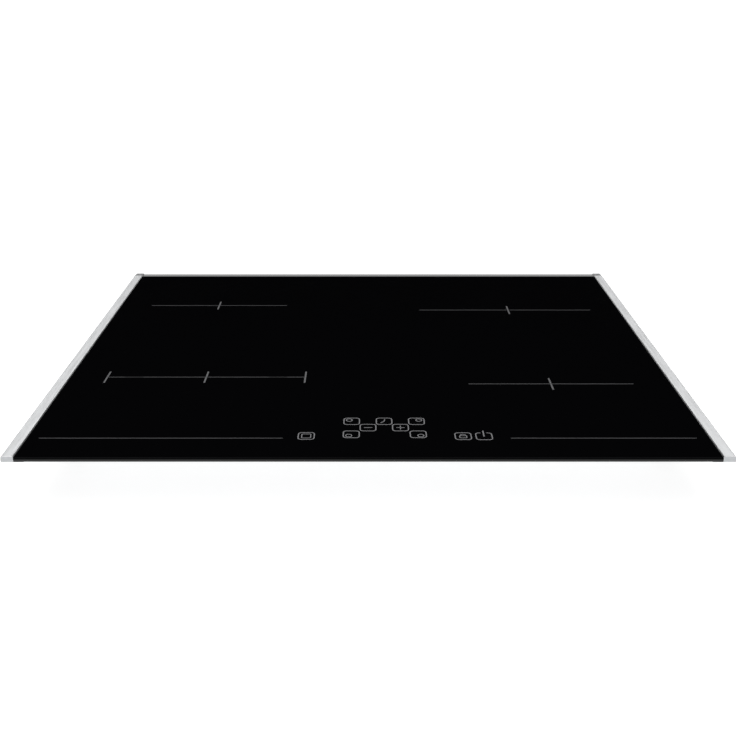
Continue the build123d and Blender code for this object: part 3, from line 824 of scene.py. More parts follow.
def rounded_box(centre: Point2, half_x: float, half_y: float, radius: float) -> list[Point2]:
    """Outline of a rounded rectangle, anticlockwise from its right side.

    Args:
        centre: Its centre.
        half_x: Half its width.
        half_y: Half its depth.
        radius: Corner radius.
    Returns:
        The outline's points.
    """
    points: list[Point2] = []
    for sx, sy, start in ((1, -1, -90), (1, 1, 0), (-1, 1, 90), (-1, -1, 180)):
        corner = (centre[0] + sx * (half_x - radius), centre[1] + sy * (half_y - radius))
        points += arc(corner, radius, start, start + 90, 5)
    return points


@dataclass
class ZoneMarks:
    """A thin line across each cooking zone, with depth-wise ticks."""

    line: float = 1.0 * MM
    tick: float = 1.6 * MM
    tick_long: float = 28 * MM
    gap_outer: float = 80 * MM
    gap_inner: float = 62 * MM
    zones: tuple = (
        (-159.5, -89.0, 97.5, 0.0),
        (-177.0, 131.0, 80.5, 0.0),
        (177.0, -106.0, 80.0, 0.0),
        (160.0, 114.5, 100.5, 4.0),
    )

    def build(self) -> None:
        """Print the lines and the ticks: a zone is its centre, half its width and its tick's shift in mm.

        The first zone is the dual one, with end ticks and faint stretches between its two rings.
        """
        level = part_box("zone_markings")[0].z
        lines = Print("zone_line_print", "zone_print", LINE_ENAMEL, level)
        ticks = Print("zone_tick_print", "zone_print", TICK_ENAMEL, level)
        faint = Print("zone_faint_print", "zone_print", FAINT_ENAMEL, level)
        for zone in self.zones:
            x, y, half, shift = (size * MM for size in zone)
            if zone is self.zones[0]:
                near, far = self.gap_inner, self.gap_outer
                for a, b in ((-half, -far), (-near, near), (far, half)):
                    lines.stroke([(x + a, y), (x + b, y)], self.line)
                for a, b in ((-far, -near), (near, far)):
                    faint.stroke([(x + a, y), (x + b, y)], self.line)
                places = (x - half, x, x + half)
            else:
                lines.stroke([(x - half, y), (x + half, y)], self.line)
                places = (x + shift,)
            for place in places:
                ticks.stroke([(place, y - self.tick_long / 2), (place, y + self.tick_long / 2)], self.tick)
        lines.finish_print("zone_markings")
        ticks.finish_print()
        faint.finish_print()


class Key(Enum):
    """The touch keys: centre in millimetres."""

    PAUSE = (-53.6, -220.3)
    REAR_LEFT = (-14.8, -190.7)
    TIMER = (14.0, -190.7)
    REAR_RIGHT = (42.8, -190.7)
    MINUS = (-0.3, -203.6)
    PLUS = (28.2, -203.6)
    FRONT_LEFT = (-14.8, -217.0)
    FRONT_RIGHT = (43.2, -217.0)
    LOCK = (81.8, -220.7)
    POWER = (99.8, -220.9)


@dataclass
class ControlMarks:
    """Key outlines with their symbols, and the long lines beside them."""

    width: float = 0.95 * MM
    symbol_width: float = 0.85 * MM
    power_weight: float = 1.3
    half_x: float = 6.9 * MM
    half_y: float = 6.7 * MM
    corner: float = 3.0 * MM
    power_cut: float = 3.0 * MM
    power_gap: float = 2.6 * MM
    power_bar: Point2 = (11.0 * MM, -0.5 * MM)
    dash: float = 3.6 * MM
    stem: float = 3.8 * MM
    hands: tuple = ((-3.2 * MM, -3.4 * MM), (0.0, 0.0), (0.6 * MM, 4.2 * MM))
    square: float = 3.9 * MM
    square_corner: float = 1.2 * MM
    lock_drop: float = 1.2 * MM
    lock_body: Point3 = (3.0 * MM, 2.1 * MM, 0.5 * MM)
    shackle_rise: float = 1.6 * MM
    shackle: float = 2.2 * MM
    ring: float = 2.6 * MM
    ring_shift: Point2 = (2.2 * MM, 2.5 * MM)
    line_y: float = -224.5 * MM
    line: float = 0.9 * MM
    lines: tuple = ((-283.0 * MM, -73.5 * MM), (122.5 * MM, 282.0 * MM))

    def symbol(self, key: Key, x: float, y: float) -> list[tuple[list[Point2], bool]]:
        """Draw a key's symbol; the zone keys have a ring near the corner that stands for their zone.

        Args:
            key: Which key, but not the power key.
            x: X of its centre.
            y: Y of its centre.
        Returns:
            Each stroke's points, and whether it closes on itself.
        """
        dash = ([(x - self.dash, y), (x + self.dash, y)], False)
        if key is Key.MINUS:
            return [dash]
        if key is Key.PLUS:
            return [dash, ([(x, y - self.stem), (x, y + self.stem)], False)]
        if key is Key.TIMER:
            return [([(x + a, y + b) for a, b in self.hands], False)]
        if key is Key.PAUSE:
            return [(rounded_box((x, y), self.square, self.square, self.square_corner), True)]
        if key is Key.LOCK:
            body = rounded_box((x, y - self.lock_drop), *self.lock_body)
            return [(body, True), (arc((x, y + self.shackle_rise), self.shackle, 0, 180, 10), False)]
        way_x = 1 if key in (Key.REAR_RIGHT, Key.FRONT_RIGHT) else -1
        way_y = 1 if key in (Key.REAR_LEFT, Key.REAR_RIGHT) else -1
        centre = (x + way_x * self.ring_shift[0], y + way_y * self.ring_shift[1])
        return [(arc(centre, self.ring, 0, 345, 23), True)]

    def key(self, sheet: Print, key: Key) -> None:
        """Print one key; the power key's outline is open at the top, where its bar stands.

        Args:
            sheet: Where it is printed.
            key: Which key.
        """
        x, y = key.value[0] * MM, key.value[1] * MM
        outline = rounded_box((x, y), self.half_x, self.half_y, self.corner)
        if key is not Key.POWER:
            sheet.stroke(outline, self.width, closed=True)
            for points, closed in self.symbol(key, x, y):
                sheet.stroke(points, self.symbol_width, closed)
            return
        kept = [p for p in outline if abs(p[0] - x) >= self.power_cut or p[1] <= y]
        top = max(range(len(kept)), key=lambda i: (kept[i][1], -kept[i][0]))
        ends = [(x + way * self.power_gap, y + self.half_y) for way in (-1, 1)]
        sheet.stroke([ends[0]] + kept[top:] + kept[:top] + [ends[1]], self.width)
        sheet.stroke([(x, y + end) for end in self.power_bar], self.symbol_width * self.power_weight)

    def build(self) -> None:
        """Print the keys and the two lines."""
        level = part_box("control_markings")[0].z
        sheet = Print("key_print", "control_print", KEY_ENAMEL, level)
        for key in Key:
            self.key(sheet, key)
        sheet.finish_print("control_markings")
        rules = Print("panel_line_print", "control_print", LINE_ENAMEL, level)
        for start, end in self.lines:
            rules.stroke([(start, self.line_y), (end, self.line_y)], self.line)
        rules.finish_print()


# ---- Shapes that several sub-assemblies share ------------------------------------------------
def moved(mesh: Mesh, matrix: Matrix) -> Mesh:
    """Move a mesh in place and hand it back."""
    mesh.transform(matrix)
    return mesh


def lathe(outline: Sequence[Point2], steps: int) -> Mesh:
    """A turned shape about Z.

    Args:
        outline: Radius and height of each point, from the axis back to the axis.
        steps: Faces round the axis.
    Returns:
        The mesh.
    """
    turns = [2 * math.pi * i / steps for i in range(steps)]
    rows = [[(r * math.cos(a), r * math.sin(a), z) for r, z in outline] for a in turns]
    return lofted(rows, closed=True)


def bar(low: Point3, high: Point3) -> Mesh:
    """A plain bar between two corners, for cutting and for joining to other shapes."""
    outline = [(low[0], low[1]), (high[0], low[1]), (high[0], high[1]), (low[0], high[1])]
    return prism(outline, lambda a, b, c: (a, b, c), (low[2], high[2]))


def carved(body: Mesh, cutter: Mesh) -> Mesh:
    """Cut one mesh with another.

    Args:
        body: What is cut.
        cutter: What is taken away; both are used up.
    Returns:
        The cut mesh.
    """
    holders = [linked("holder", cleaned(mesh)) for mesh in (body, cutter)]
    cut = holders[0].modifiers.new("cut", "BOOLEAN")
    cut.operation = "DIFFERENCE"
    cut.solver = "EXACT"
    cut.object = holders[1]
    result = evaluated(holders[0])
    for holder in holders:
        bpy.data.objects.remove(holder)
    return result


def copies(name: str, template: Mesh, places: Sequence[Place], finish: Finish) -> Mesh:
    """Stand one shape on many places, each turned its own way, with Geometry Nodes.

    Args:
        name: The tree's name.
        template: The shape, about its own origin; used up.
        places: Position and XYZ turn in radians of each copy.
        finish: What the copies are made of.
    Returns:
        One mesh with every copy in place.
    """
    spots = bpy.data.meshes.new(name + " places")
    spots.from_pydata([place for place, _ in places], [], [])
    turns = spots.attributes.new("turn", "FLOAT_VECTOR", "POINT")
    for i, (_, turn) in enumerate(places):
        turns.data[i].vector = turn
    holders = [linked("holder", mesh) for mesh in (spots, template)]
    shape = NodeShape(name)
    shapes = []
    for word, holder in zip(("Places", "Shape"), holders):
        socket = shape.value(word, holder, "Object")
        shapes.append(add_node(shape.tree, "GeometryNodeObjectInfo", {"Object": socket}).outputs["Geometry"])
    turn = add_node(shape.tree, "GeometryNodeInputNamedAttribute", {"Name": "turn"}, data_type="FLOAT_VECTOR")
    stood = add_node(shape.tree, "GeometryNodeInstanceOnPoints", {
        "Points": shapes[0], "Instance": shapes[1], "Rotation": turn.outputs[0],
    })
    mesh = shape.bake(stood.outputs[0], finish)
    for holder in holders:
        bpy.data.objects.remove(holder)
    return mesh


def coiled(name: str, turns: float, ends: Point2, height: float, wire: float, finish: Finish,
           steps: int) -> Mesh:
    """A round wire wound in a flat spiral or a helix, with Geometry Nodes.

    Args:
        name: The tree's name.
        turns: How many turns.
        ends: Radius of its first and of its last turn, to the wire's middle.
        height: How far it climbs.
        wire: The wire's thickness.
        finish: What it is made of.
        steps: Steps in each turn.
    Returns:
        The mesh, about the origin.
    """
    shape = NodeShape(name)
    spiral = add_node(shape.tree, "GeometryNodeCurveSpiral", {
        "Resolution": shape.value("Steps in a turn", steps, "Int"), "Rotations": shape.value("Turns", turns),
        "Start Radius": shape.value("Start radius", ends[0]),
        "End Radius": shape.value("End radius", ends[1]),
        "Height": shape.value("Height", height),
    })
    section = add_node(shape.tree, "GeometryNodeCurvePrimitiveCircle", {
        "Resolution": shape.value("Sides", WIRE_SIDES, "Int"), "Radius": shape.value("Wire radius", wire / 2),
    })
    wound = add_node(shape.tree, "GeometryNodeCurveToMesh", {
        "Curve": spiral.outputs[0], "Profile Curve": section.outputs[0], "Fill Caps": True,
    })
    return shape.bake(wound.outputs[0], finish)


def islands(shape: bmesh.types.BMesh) -> list[list[bmesh.types.BMFace]]:
    """Sort a mesh's faces into its separate solids.

    Args:
        shape: The mesh.
    Returns:
        The faces of each solid.
    """
    groups, seen = [], set()
    for first in shape.faces:
        if first in seen:
            continue
        group, waiting = [], [first]
        seen.add(first)
        while waiting:
            face = waiting.pop()
            group.append(face)
            for edge in face.edges:
                for other in edge.link_faces:
                    if other not in seen:
                        seen.add(other)
                        waiting.append(other)
        groups.append(group)
    return groups


def dressed(node: str, slot: str, choose: Chooser, bevel: float) -> None:
    """Stand a softened, many-coloured copy in for a fixed CAD node that holds several solids.

    Args:
        node: The CAD node.
        slot: The record's material slot.
        choose: Gives a face's finish from its solid's lowest and highest corners and its own middle.
        bevel: How far its edges are broken.
    """
    shape = bmesh.new()
    shape.from_mesh(frame["nodes"][node].data)
    bmesh.ops.remove_doubles(shape, verts=shape.verts, dist=10 * WELD)
    finishes: list[Finish] = []
    for group in islands(shape):
        points = [vert.co for face in group for vert in face.verts]
        low = Vector([min(p[i] for p in points) for i in range(3)])
        high = Vector([max(p[i] for p in points) for i in range(3)])
        for face in group:
            finish = choose(low, high, face.calc_center_median())
            if finish not in finishes:
                finishes.append(finish)
            face.material_index = finishes.index(finish)
    whole = {"verts": shape.verts, "edges": shape.edges}
    bmesh.ops.dissolve_limit(shape, angle_limit=math.radians(1), delimit={"MATERIAL"}, **whole)
    mesh = bpy.data.meshes.new(node + "_dressed")
    shape.to_mesh(mesh)
    shape.free()
    for finish in finishes:
        mesh.materials.append(finish.material())
    piece = linked(node + "_dressed", mesh)
    soften(piece, bevel)
    settle(piece, "hob", slot, node)


def soften(piece: Object, bevel: float) -> None:
    """Break a piece's edges with a small bevel and keep the result as its mesh.

    Args:
        piece: The piece.
        bevel: Width of the bevel.
    """
    modifier = piece.modifiers.new("edges", "BEVEL")
    modifier.width = bevel
    modifier.segments = 2
    modifier.limit_method = "ANGLE"
    modifier.angle_limit = math.radians(50)
    result = evaluated(piece)
    piece.modifiers.clear()
    piece.data = result
    smoothed(result, sharp=35)


# ---- Rim, casing and clamps ---------------------------------------------------------------------
@dataclass
class RimGasket:
    """Foam strip under the glass, with soft corners."""

    width: float = 10.0 * MM
    corner: float = 0.7 * MM
    riser: float = 8.5 * MM

    def build(self) -> None:
        """Make the ring and the two risers that reach the glass."""
        low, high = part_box("rim_gasket")
        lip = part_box("side_trim_right")[0].x
        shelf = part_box("side_trim_right")[0].z
        r = self.corner
        section = arc((r, low.z + r), r, 180, 270, 4) + arc((self.width - r, low.z + r), r, 270, 360, 4)
        section += [(self.width, shelf), (0.0, shelf)]
        rows = []
        for sx, sy in ((-1, -1), (1, -1), (1, 1), (-1, 1)):
            rows.append([(sx * (high.x - a), sy * (high.y - a), z) for a, z in section])
        parts = [lofted(rows, closed=True)]
        for side in (-1, 1):
            near, far = sorted((side * (high.y - self.riser), side * high.y))
            parts.append(bar((-lip, near, shelf), (lip, far, high.z)))
        settle(piece_from("foam_strip", joined(parts), FOAM, smooth=40), "hob", "foam_gasket", "rim_gasket")


@dataclass
class CasingScrews:
    """Pan-head screws with cross recesses through the casing walls."""

    head_r: float = 3.4 * MM
    head_high: float = 2.0 * MM
    shaft_r: float = 1.95 * MM
    shaft_long: float = 3.4 * MM
    recess_long: float = 3.6 * MM
    recess_wide: float = 0.9 * MM
    recess_deep: float = 1.2 * MM
    rim_share: float = 0.45
    level: float = 46.5 * MM
    side_ys: tuple = (-190.0, 20.0, 222.0)
    front_x: float = 150.0
    rear_x: float = 110.0
    side_turn: float = 0.3
    end_turn: float = 0.2

    def template(self) -> Mesh:
        """Turn one screw, with its head facing up and its seat at the origin, and cut its recess.

        Returns:
            The mesh.
        """
        outline = [(0.0, self.head_high)]
        for angle in map(math.radians, (20, 40, 60, 75, 90)):
            height = self.head_high * (self.rim_share + (1 - self.rim_share) * math.cos(angle))
            outline.append((self.head_r * math.sin(angle), height))
        outline += [(self.head_r, 0.0), (self.shaft_r, 0.0)]
        outline += [(self.shaft_r, -self.shaft_long), (0.0, -self.shaft_long)]
        a, b = self.recess_long / 2, self.recess_wide / 2
        arm = [(a, -b), (a, b), (b, b)]
        cross = []
        for _ in range(4):
            cross += arm
            arm = [(-y, x) for x, y in arm]
        depths = (self.head_high - self.recess_deep, self.head_high + MM)
        return carved(lathe(outline, steps=24), prism(cross, lambda x, y, z: (x, y, z), depths))

    def places(self) -> list[Place]:
        """Find where each screw sits; their recesses point different ways, as screws do.

        Returns:
            The screws' places and turns.
        """
        low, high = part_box("bottom_casing")
        quarter = math.pi / 2
        spots = []
        for side in (-1, 1):
            for y in self.side_ys:
                spots.append(((side * high.x, y * MM, self.level), (0.0, side * quarter, self.side_turn * y)))
        for wall, x_end, turn in ((low.y, self.front_x, quarter), (high.y, self.rear_x, -quarter)):
            for x in (-x_end, x_end):
                spots.append(((x * MM, wall, self.level), (turn, 0.0, self.end_turn * x)))
        return spots

    def build(self) -> None:
        """Stand a screw at every place."""
        mesh = copies("casing screws", self.template(), self.places(), ZINC)
        settle(piece_from("pan_head_screws", mesh, ZINC, smooth=30), "hob", "zinc_screws", "casing_screws")


@dataclass
class ClampScrews:
    """Upright clamp screws with a rolled thread and a slotted round head underneath."""

    core_r: float = 2.25 * MM
    head_r: float = 4.2 * MM
    pitch: float = 0.9 * MM
    wire: float = 0.5 * MM
    slot_wide: float = 1.0 * MM
    slot_deep: float = 0.7 * MM
    head_high: float = 1.4 * MM
    edge: float = 0.4 * MM
    thread_foot: float = 4.0 * MM
    bare_end: float = 1.0 * MM
    slot_turn: float = 40.0

    def build(self) -> None:
        """Turn one screw, wind its thread and stand it in the four brackets."""
        low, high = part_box("clamp_screws")
        tall = high.z - low.z
        outline = [
            (0.0, 0.0), (self.head_r - self.edge, 0.0), (self.head_r, self.edge),
            (self.head_r, self.head_high), (self.core_r, self.head_high),
            (self.core_r, tall - self.edge), (self.core_r - self.edge, tall), (0.0, tall),
        ]
        half = self.slot_wide / 2
        cutter = bar((-2 * self.head_r, -half, -MM), (2 * self.head_r, half, self.slot_deep))
        screw = carved(lathe(outline, steps=24), cutter)
        climb = tall - self.thread_foot - self.bare_end
        ends = (self.core_r, self.core_r)
        thread = coiled("clamp thread", climb / self.pitch, ends, climb, self.wire, ZINC, steps=20)
        moved(thread, Matrix.Translation((0, 0, self.thread_foot)))
        places = []
        for zone in Zone:
            a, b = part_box("clamp_nut_" + zone.value)
            places.append((((a.x + b.x) / 2, (a.y + b.y) / 2, low.z), (0.0, 0.0, self.slot_turn * a.y)))
        mesh = copies("clamp screws", joined([screw, thread]), places, ZINC)
        piece = piece_from("threaded_clamp_screws", mesh, ZINC, smooth=40)
        settle(piece, "hob", "zinc_screws", "clamp_screws")


# ---- Coils and fans -------------------------------------------------------------------------------
@dataclass
class Coil:
    """One zone's litz winding and its three springs."""

    zone: Zone
    wire: float = 3.4 * MM
    gap: float = 0.35 * MM
    inner: float = 20.0 * MM
    dual_inner: float = 58.0 * MM
    dual_gap: float = 5.0 * MM
    spring_r: float = 4.0 * MM
    spring_wire: float = 1.0 * MM
    spring_turns: float = 6.0
    spring_share: float = 0.72
    spring_degrees: Point2 = (30.0, 270.0)

    def spiral(self, start: float, end: float) -> Mesh:
        """A flat spiral between two radii.

        Args:
            start: Inner radius.
            end: Outer radius.
        Returns:
            The mesh, about the origin.
        """
        ends = (start + self.wire / 2, end - self.wire / 2)
        turns = (ends[1] - ends[0]) / (self.wire + self.gap)
        return coiled("litz " + self.zone.value, turns, ends, 0.0, self.wire, COPPER, steps=56)

    def build_winding(self) -> None:
        """Wind the coil; the dual zone has an inner and an outer winding."""
        node = "coil_winding_" + self.zone.value
        low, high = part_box(node)
        outer = (high.x - low.x) / 2
        rings = [(self.inner, outer)]
        if self.zone is Zone.FRONT_LEFT:
            rings = [(self.inner, self.dual_inner), (self.dual_inner + self.dual_gap, outer)]
        parts = [self.spiral(*ring) for ring in rings]
        mesh = moved(joined(parts), Matrix.Translation((low + high) / 2))
        piece = piece_from("litz_spiral_" + self.zone.value, mesh, COPPER, smooth=50)
        settle(piece, "coil_" + self.zone.value, "copper_litz", node)

    def build_springs(self) -> None:
        """Coil the three springs and stand them under the coil, fastened to the hob."""
        node, joint = "coil_springs_" + self.zone.value, "coil_press_" + self.zone.value
        low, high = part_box(node)
        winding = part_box("coil_winding_" + self.zone.value)
        centre = (winding[0] + winding[1]) / 2
        reach = (winding[1].x - winding[0].x) / 2 * self.spring_share
        height = high.z - low.z - self.spring_wire
        ends = (self.spring_r, self.spring_r)
        name = "springs " + self.zone.value
        spring = coiled(name, self.spring_turns, ends, height, self.spring_wire, SPRING_WIRE, steps=20)
        foot = low.z + self.spring_wire / 2
        spots = arc((centre.x, centre.y), reach, *self.spring_degrees, 2)
        mesh = copies("places of " + name, spring, [((x, y, foot), STRAIGHT) for x, y in spots], SPRING_WIRE)
        piece = piece_from("press_springs_" + self.zone.value, mesh, SPRING_WIRE, smooth=50)
        settle(piece, "hob", "spring_steel", node)
        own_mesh(piece)

    def build(self) -> None:
        """Make the winding and the springs."""
        self.build_winding()
        self.build_springs()


@dataclass
class Fan:
    """A cooling fan's rotor: cupped hub and seven swept blades."""

    side: Side
    blades: int = 7
    sections: int = 6
    across: int = 5
    hub_r: float = 13.0 * MM
    shaft_r: float = 1.5 * MM
    hub_foot: float = 3.0 * MM
    hub_top: float = 17.0 * MM
    hub_edge: float = 0.8 * MM
    hub_rim: tuple = (
        (0.0, 1.5 * MM), (0.5 * MM, 0.4 * MM), (1.5 * MM, 0.0), (4.0 * MM, 0.0), (5.0 * MM, 0.6 * MM),
    )
    tip_r: float = 35.8 * MM
    root: float = 1.0 * MM
    thick: float = 1.1 * MM
    chord: float = 8.5 * MM
    chord_gain: float = 3.5 * MM
    camber: float = 1.2 * MM
    pitch: float = 38.0
    sweep: float = 24.0
    rise: float = 1.15
    spread: float = 1.5
    camber_up: float = 0.6
    camber_along: float = 0.4

    def blade(self, height: float) -> Mesh:
        """One blade, curved across and swept back, from inside the hub to its tip.

        Args:
            height: Z of its middle.
        Returns:
            The mesh, about the rotor's axis.
        """
        pitch, inside = math.radians(self.pitch), self.hub_r - self.root
        upper = [j / (self.across - 1) - 0.5 for j in range(self.across)]
        section = [(share, self.thick) for share in upper] + [(share, 0.0) for share in reversed(upper)]
        rows = []
        for i in range(self.sections + 1):
            share = i / self.sections
            radius = inside + (self.tip_r - inside) * share
            lead = math.radians(self.sweep) * share**1.5
            chord = self.chord + self.chord_gain * share
            ring = []
            for across, skin in section:
                up = chord * across * math.sin(pitch) * self.rise
                along = chord * across * math.cos(pitch) * self.spread
                bow = self.camber * (1 - 4 * across * across) + skin
                turn = lead + (along + bow * self.camber_along) / radius
                level = height + up - bow * self.camber_up
                ring.append((radius * math.cos(turn), radius * math.sin(turn), level))
            rows.append(ring)
        return lofted(rows)

    def build(self) -> None:
        """Make the rotor on its own axis and set it in its housing."""
        node = "fan_rotor_" + self.side.word
        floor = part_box(node)[0].z
        joint = next(j for j in frame["joints"] if j["name"] == "fan_spin_" + self.side.word)
        r, bottom, top = self.hub_r, floor + self.hub_foot, floor + self.hub_top
        rim = [(r - inset, top - drop) for inset, drop in self.hub_rim]
        hub = lathe([
            (0.0, floor), (self.shaft_r, floor), (self.shaft_r, bottom), (r - self.root, bottom),
            (r, bottom + self.hub_edge), *rim, (0.0, rim[-1][1]),
        ], steps=48)
        places = [(STRAIGHT, (0.0, 0.0, 2 * math.pi * i / self.blades)) for i in range(self.blades)]
        blades = copies("fan blades " + self.side.word, self.blade((bottom + top) / 2), places, FAN_MOULDING)
        mesh = moved(joined([hub, blades]), Matrix.Translation((*joint["pos_m"][:2], 0)))
        piece = piece_from("swept_rotor_" + self.side.word, mesh, FAN_MOULDING, smooth=40)
        settle(piece, "fan_" + self.side.word, "fan_moulding", node)


# ---- Electronics and wiring --------------------------------------------------------------------------
@dataclass
class Electronics:
    """The boards, their components, the terminal parts and the leads, each solid in its own finish."""

    sheet: float = 1.7 * MM
    transistor: float = 6.0 * MM
    can_tall: float = 15.0 * MM
    film_tall: float = 16.5 * MM
    choke_wide: float = 30.0 * MM
    relay_deep: float = 13.0 * MM
    filter_x: float = -10.0 * MM
    choke_y: float = 125.0 * MM
    can_y: float = 150.0 * MM
    display: tuple = ((4.0 * MM, 24.0 * MM), (-223.0 * MM, -211.0 * MM))
    ribbon: Point2 = (11.0 * MM, 20.0 * MM)
    lead_wide: float = 4.0 * MM
    lead_x: float = -32.9 * MM
    lead_step: float = 17.0 * MM
    live_y: float = 120.0 * MM
    saddle_wide: float = 10.0 * MM
    slack: float = 0.05 * MM

    def on_power_board(self, low: Vector, high: Vector, middle: Vector) -> Finish:
        """A power board is one wide thin sheet on moulded feet."""
        return BOARD if middle.z > high.z - self.sheet else WHITE_MOULDING

    def on_components(self, low: Vector, high: Vector, middle: Vector) -> Finish:
        """Tell transistors, film capacitors, chokes and electrolytic capacitors apart by size.

        Args:
            low: The component's lowest corner.
            high: Its highest corner.
            middle: Middle of the face; not used.
        Returns:
            The component's finish.
        """
        wide, deep, tall = high - low
        if wide < self.transistor:
            return DARK_EPOXY
        if tall > self.can_tall:
            return YELLOW_FILM if tall > self.film_tall else CAN_SLEEVE
        if abs(wide - deep) < MM and wide > self.choke_wide:
            return COPPER
        return GREY_MOULDING if deep < self.relay_deep else YELLOW_FILM

    def on_filter_board(self, low: Vector, high: Vector, middle: Vector) -> Finish:
        """Tell the filter board's sheet, choke, capacitors, relay and fuse apart by their places.

        Args:
            low: The solid's lowest corner; not used.
            high: Its highest corner; not used.
            middle: Middle of the face.
        Returns:
            The face's finish.
        """
        above = middle.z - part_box("power_board_left")[1].z
        if above < self.slack:
            return BOARD if above >= -self.sheet else WHITE_MOULDING
        if middle.x < self.filter_x:
            return COPPER if middle.y > self.choke_y else SILICONE
        return CAN_SLEEVE if middle.y > self.can_y else YELLOW_FILM

    def on_touch_board(self, low: Vector, high: Vector, middle: Vector) -> Finish:
        """Tell the touch board's sheet, display and key springs apart by their places.

        Args:
            low: The solid's lowest corner.
            high: Its highest corner; not used.
            middle: Middle of the face.
        Returns:
            The face's finish.
        """
        if middle.z < low.z + self.sheet - self.slack:
            return BOARD
        shown = all(near < spot < far for spot, (near, far) in zip(middle, self.display))
        return DARK_EPOXY if shown else SPRING_WIRE

    def on_wiring(self, low: Vector, high: Vector, middle: Vector) -> Finish:
        """Give live leads brown, neutral blue and earth green; the ribbon is grey.

        Args:
            low: The lead's lowest corner.
            high: Its highest corner.
            middle: Middle of the face; not used.
        Returns:
            The lead's finish.
        """
        wide, deep, _ = high - low
        if wide > self.ribbon[0] and deep > self.ribbon[1]:
            return RIBBON
        if wide < self.lead_wide:
            number = round((low.x - self.lead_x) / self.lead_step)
            return (LIVE_JACKET, NEUTRAL_JACKET, EARTH_JACKET)[number % 3]
        return LIVE_JACKET if low.y < self.live_y else NEUTRAL_JACKET

    def on_cable_clamp(self, low: Vector, high: Vector, middle: Vector) -> Finish:
        """Moulded saddle and base, steel screws."""
        return GREY_MOULDING if high.x - low.x > self.saddle_wide else ZINC

    def build(self) -> None:
        """Dress each board and its parts."""
        for side in Side:
            dressed("power_board_" + side.word, "circuit_board", self.on_power_board, 0.15 * MM)
            dressed("board_components_" + side.word, "component_epoxy", self.on_components, 0.5 * MM)
        dressed("filter_board", "circuit_board", self.on_filter_board, 0.3 * MM)
        dressed("touch_board", "circuit_board", self.on_touch_board, 0.15 * MM)
        dressed("internal_wiring", "lead_jacket", self.on_wiring, 0.05 * MM)
        dressed("cable_clamp", "terminal_moulding", self.on_cable_clamp, 0.3 * MM)


@dataclass
class KeptNodes:
    """CAD nodes whose shape is right: each gets its own finish."""

    finishes: tuple = (
        ("bottom_casing", GALVANISED), ("support_frame", GALVANISED), ("clamp_brackets", GALVANISED),
        ("clamp_arm", ZINC), ("clamp_nut", ZINC), ("insulation_sheets", MICA), ("coil_tray", SHEET_ALUMINIUM),
        ("heatsink", HEATSINK), ("fan_housing", BLACK_MOULDING), ("coil_carrier", WHITE_MOULDING),
        ("coil_ferrites", FERRITE), ("coil_sensor", SILICONE), ("terminal_housing", BLACK_MOULDING),
        ("terminal_cover", BLACK_MOULDING), ("terminal_block", GREY_MOULDING),
        ("touch_board_holder", WHITE_MOULDING),
    )

    def build(self) -> None:
        """Give every node that still shows its finish."""
        for start, finish in self.finishes:
            for name, node in frame["nodes"].items():
                if name.startswith(start):
                    node.data.materials.clear()
                    node.data.materials.append(finish.material())
                    LOG.info("%s: %s", name, finish.name)


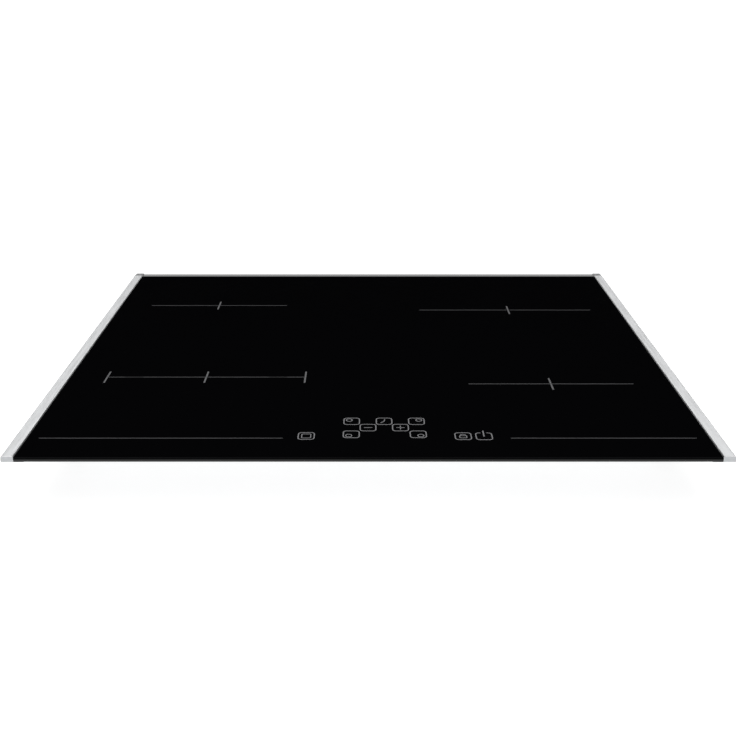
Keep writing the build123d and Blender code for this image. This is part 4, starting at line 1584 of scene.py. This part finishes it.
# ---- Floor, light and camera ---------------------------------------------------------------
@dataclass
class Studio:
    """A pale floor, soft light and the camera."""

    floor_z: float = -0.0002
    floor_half: float = 30.0
    glow: Point2 = (0.88, 1.02)
    glow_reach: Point2 = (0.5, 1.6)
    sky_stops: tuple = (
        (0.0, 0.03), (0.148, 0.03), (0.168, 1.0), (0.208, 1.0),
        (0.228, 0.0), (0.56, 0.0), (0.7, 0.78), (1.0, 0.78),
    )
    softboxes: tuple = (
        ("overhead softbox", (0.0, 0.5, 2.6), 2.6, 45),
        ("front softbox", (-1.1, -1.6, 2.4), 1.2, 18),
    )
    eye: Point3 = (-0.0003, -0.9936, 0.4346)
    tilt: float = 22.24
    lens: float = 48.71
    sensor: float = 36.0
    sight: float = 200.0

    def floor(self) -> None:
        """A plain pale floor that also glows a little, so that shadows stay faint."""
        near, far = -self.floor_half, self.floor_half
        mesh = bpy.data.meshes.new("floor")
        corners = [(x, y, self.floor_z) for x, y in ((near, near), (far, near), (far, far), (near, far))]
        mesh.from_pydata(corners, [], [(0, 1, 2, 3)])
        material = bpy.data.materials.new("pale floor")
        material.use_nodes = True
        tree = material.node_tree
        tree.nodes.clear()
        place = add_node(tree, "ShaderNodeTexCoord")
        reach = add_node(tree, "ShaderNodeVectorMath", {0: place.outputs["Object"]}, operation="LENGTH")
        glow = add_node(tree, "ShaderNodeMapRange", {
            "Value": reach.outputs["Value"], "From Min": self.glow_reach[0], "From Max": self.glow_reach[1],
            "To Min": self.glow[0], "To Max": self.glow[1],
        })
        shader = add_node(tree, "ShaderNodeBsdfPrincipled", {
            "Base Color": (0.3, 0.3, 0.3, 1), "Roughness": 0.9, "Specular IOR Level": 0.0,
            "Emission Color": glow.outputs["Result"], "Emission Strength": 1.0,
        })
        add_node(tree, "ShaderNodeOutputMaterial", {"Surface": shader.outputs["BSDF"]})
        mesh.materials.append(material)
        linked("floor", mesh)

    def sky(self) -> None:
        """Room light by height: a low bright band and a bright ceiling, with the dark between them."""
        world = bpy.data.worlds.new("studio")
        bpy.context.scene.world = world
        world.use_nodes = True
        tree = world.node_tree
        tree.nodes.clear()
        way = add_node(tree, "ShaderNodeTexCoord")
        split = add_node(tree, "ShaderNodeSeparateXYZ", {"Vector": way.outputs["Generated"]})
        ramp = add_node(tree, "ShaderNodeValToRGB", {"Fac": split.outputs["Z"]})
        elements = ramp.color_ramp.elements
        for position, _ in self.sky_stops[1:-1]:
            elements.new(position)
        for element, (position, value) in zip(sorted(elements, key=lambda e: e.position), self.sky_stops):
            element.position = position
            element.color = (value, value, value, 1)
        room = add_node(tree, "ShaderNodeBackground", {"Color": ramp.outputs["Color"], "Strength": 1.0})
        paper = add_node(tree, "ShaderNodeBackground", {"Color": (1, 1, 1, 1), "Strength": 1.0})
        path = add_node(tree, "ShaderNodeLightPath")
        mixed = add_node(tree, "ShaderNodeMixShader", {
            0: path.outputs["Is Camera Ray"], 1: room.outputs[0], 2: paper.outputs[0],
        })
        add_node(tree, "ShaderNodeOutputWorld", {"Surface": mixed.outputs[0]})

    def softbox(self, name: str, place: Point3, size: float, power: float) -> None:
        """A square softbox aimed at the hob.

        Args:
            name: The light's name.
            place: Where it hangs.
            size: Its side.
            power: Its power in watts.
        """
        light = bpy.data.lights.new(name, "AREA")
        light.size = size
        light.energy = power
        lamp = linked(name, light)
        lamp.location = place
        lamp.rotation_euler = (-Vector(place)).to_track_quat("-Z", "Y").to_euler()

    def camera(self) -> None:
        """The camera in front of the hob, looking down at it."""
        camera = bpy.data.cameras.new("camera")
        camera.lens = self.lens
        camera.sensor_width = self.sensor
        camera.clip_end = self.sight
        eye = linked("camera", camera)
        eye.location = self.eye
        eye.rotation_euler = (math.radians(90 - self.tilt), 0, 0)
        bpy.context.scene.camera = eye

    def build(self) -> None:
        """Make the whole set."""
        self.floor()
        self.sky()
        for softbox in self.softboxes:
            self.softbox(*softbox)
        self.camera()
        bpy.context.scene.view_settings.view_transform = "Standard"


def main() -> None:
    """Build every sub-assembly in order."""
    logging.basicConfig(level=logging.INFO, format="%(name)s %(message)s")
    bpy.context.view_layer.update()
    Studio().build()
    GlassPlate().build()
    SideTrims().build()
    ZoneMarks().build()
    ControlMarks().build()
    RimGasket().build()
    CasingScrews().build()
    ClampScrews().build()
    for zone in Zone:
        Coil(zone).build()
    for side in Side:
        Fan(side).build()
    Electronics().build()
    KeptNodes().build()


if __name__ == "__main__":
    main()
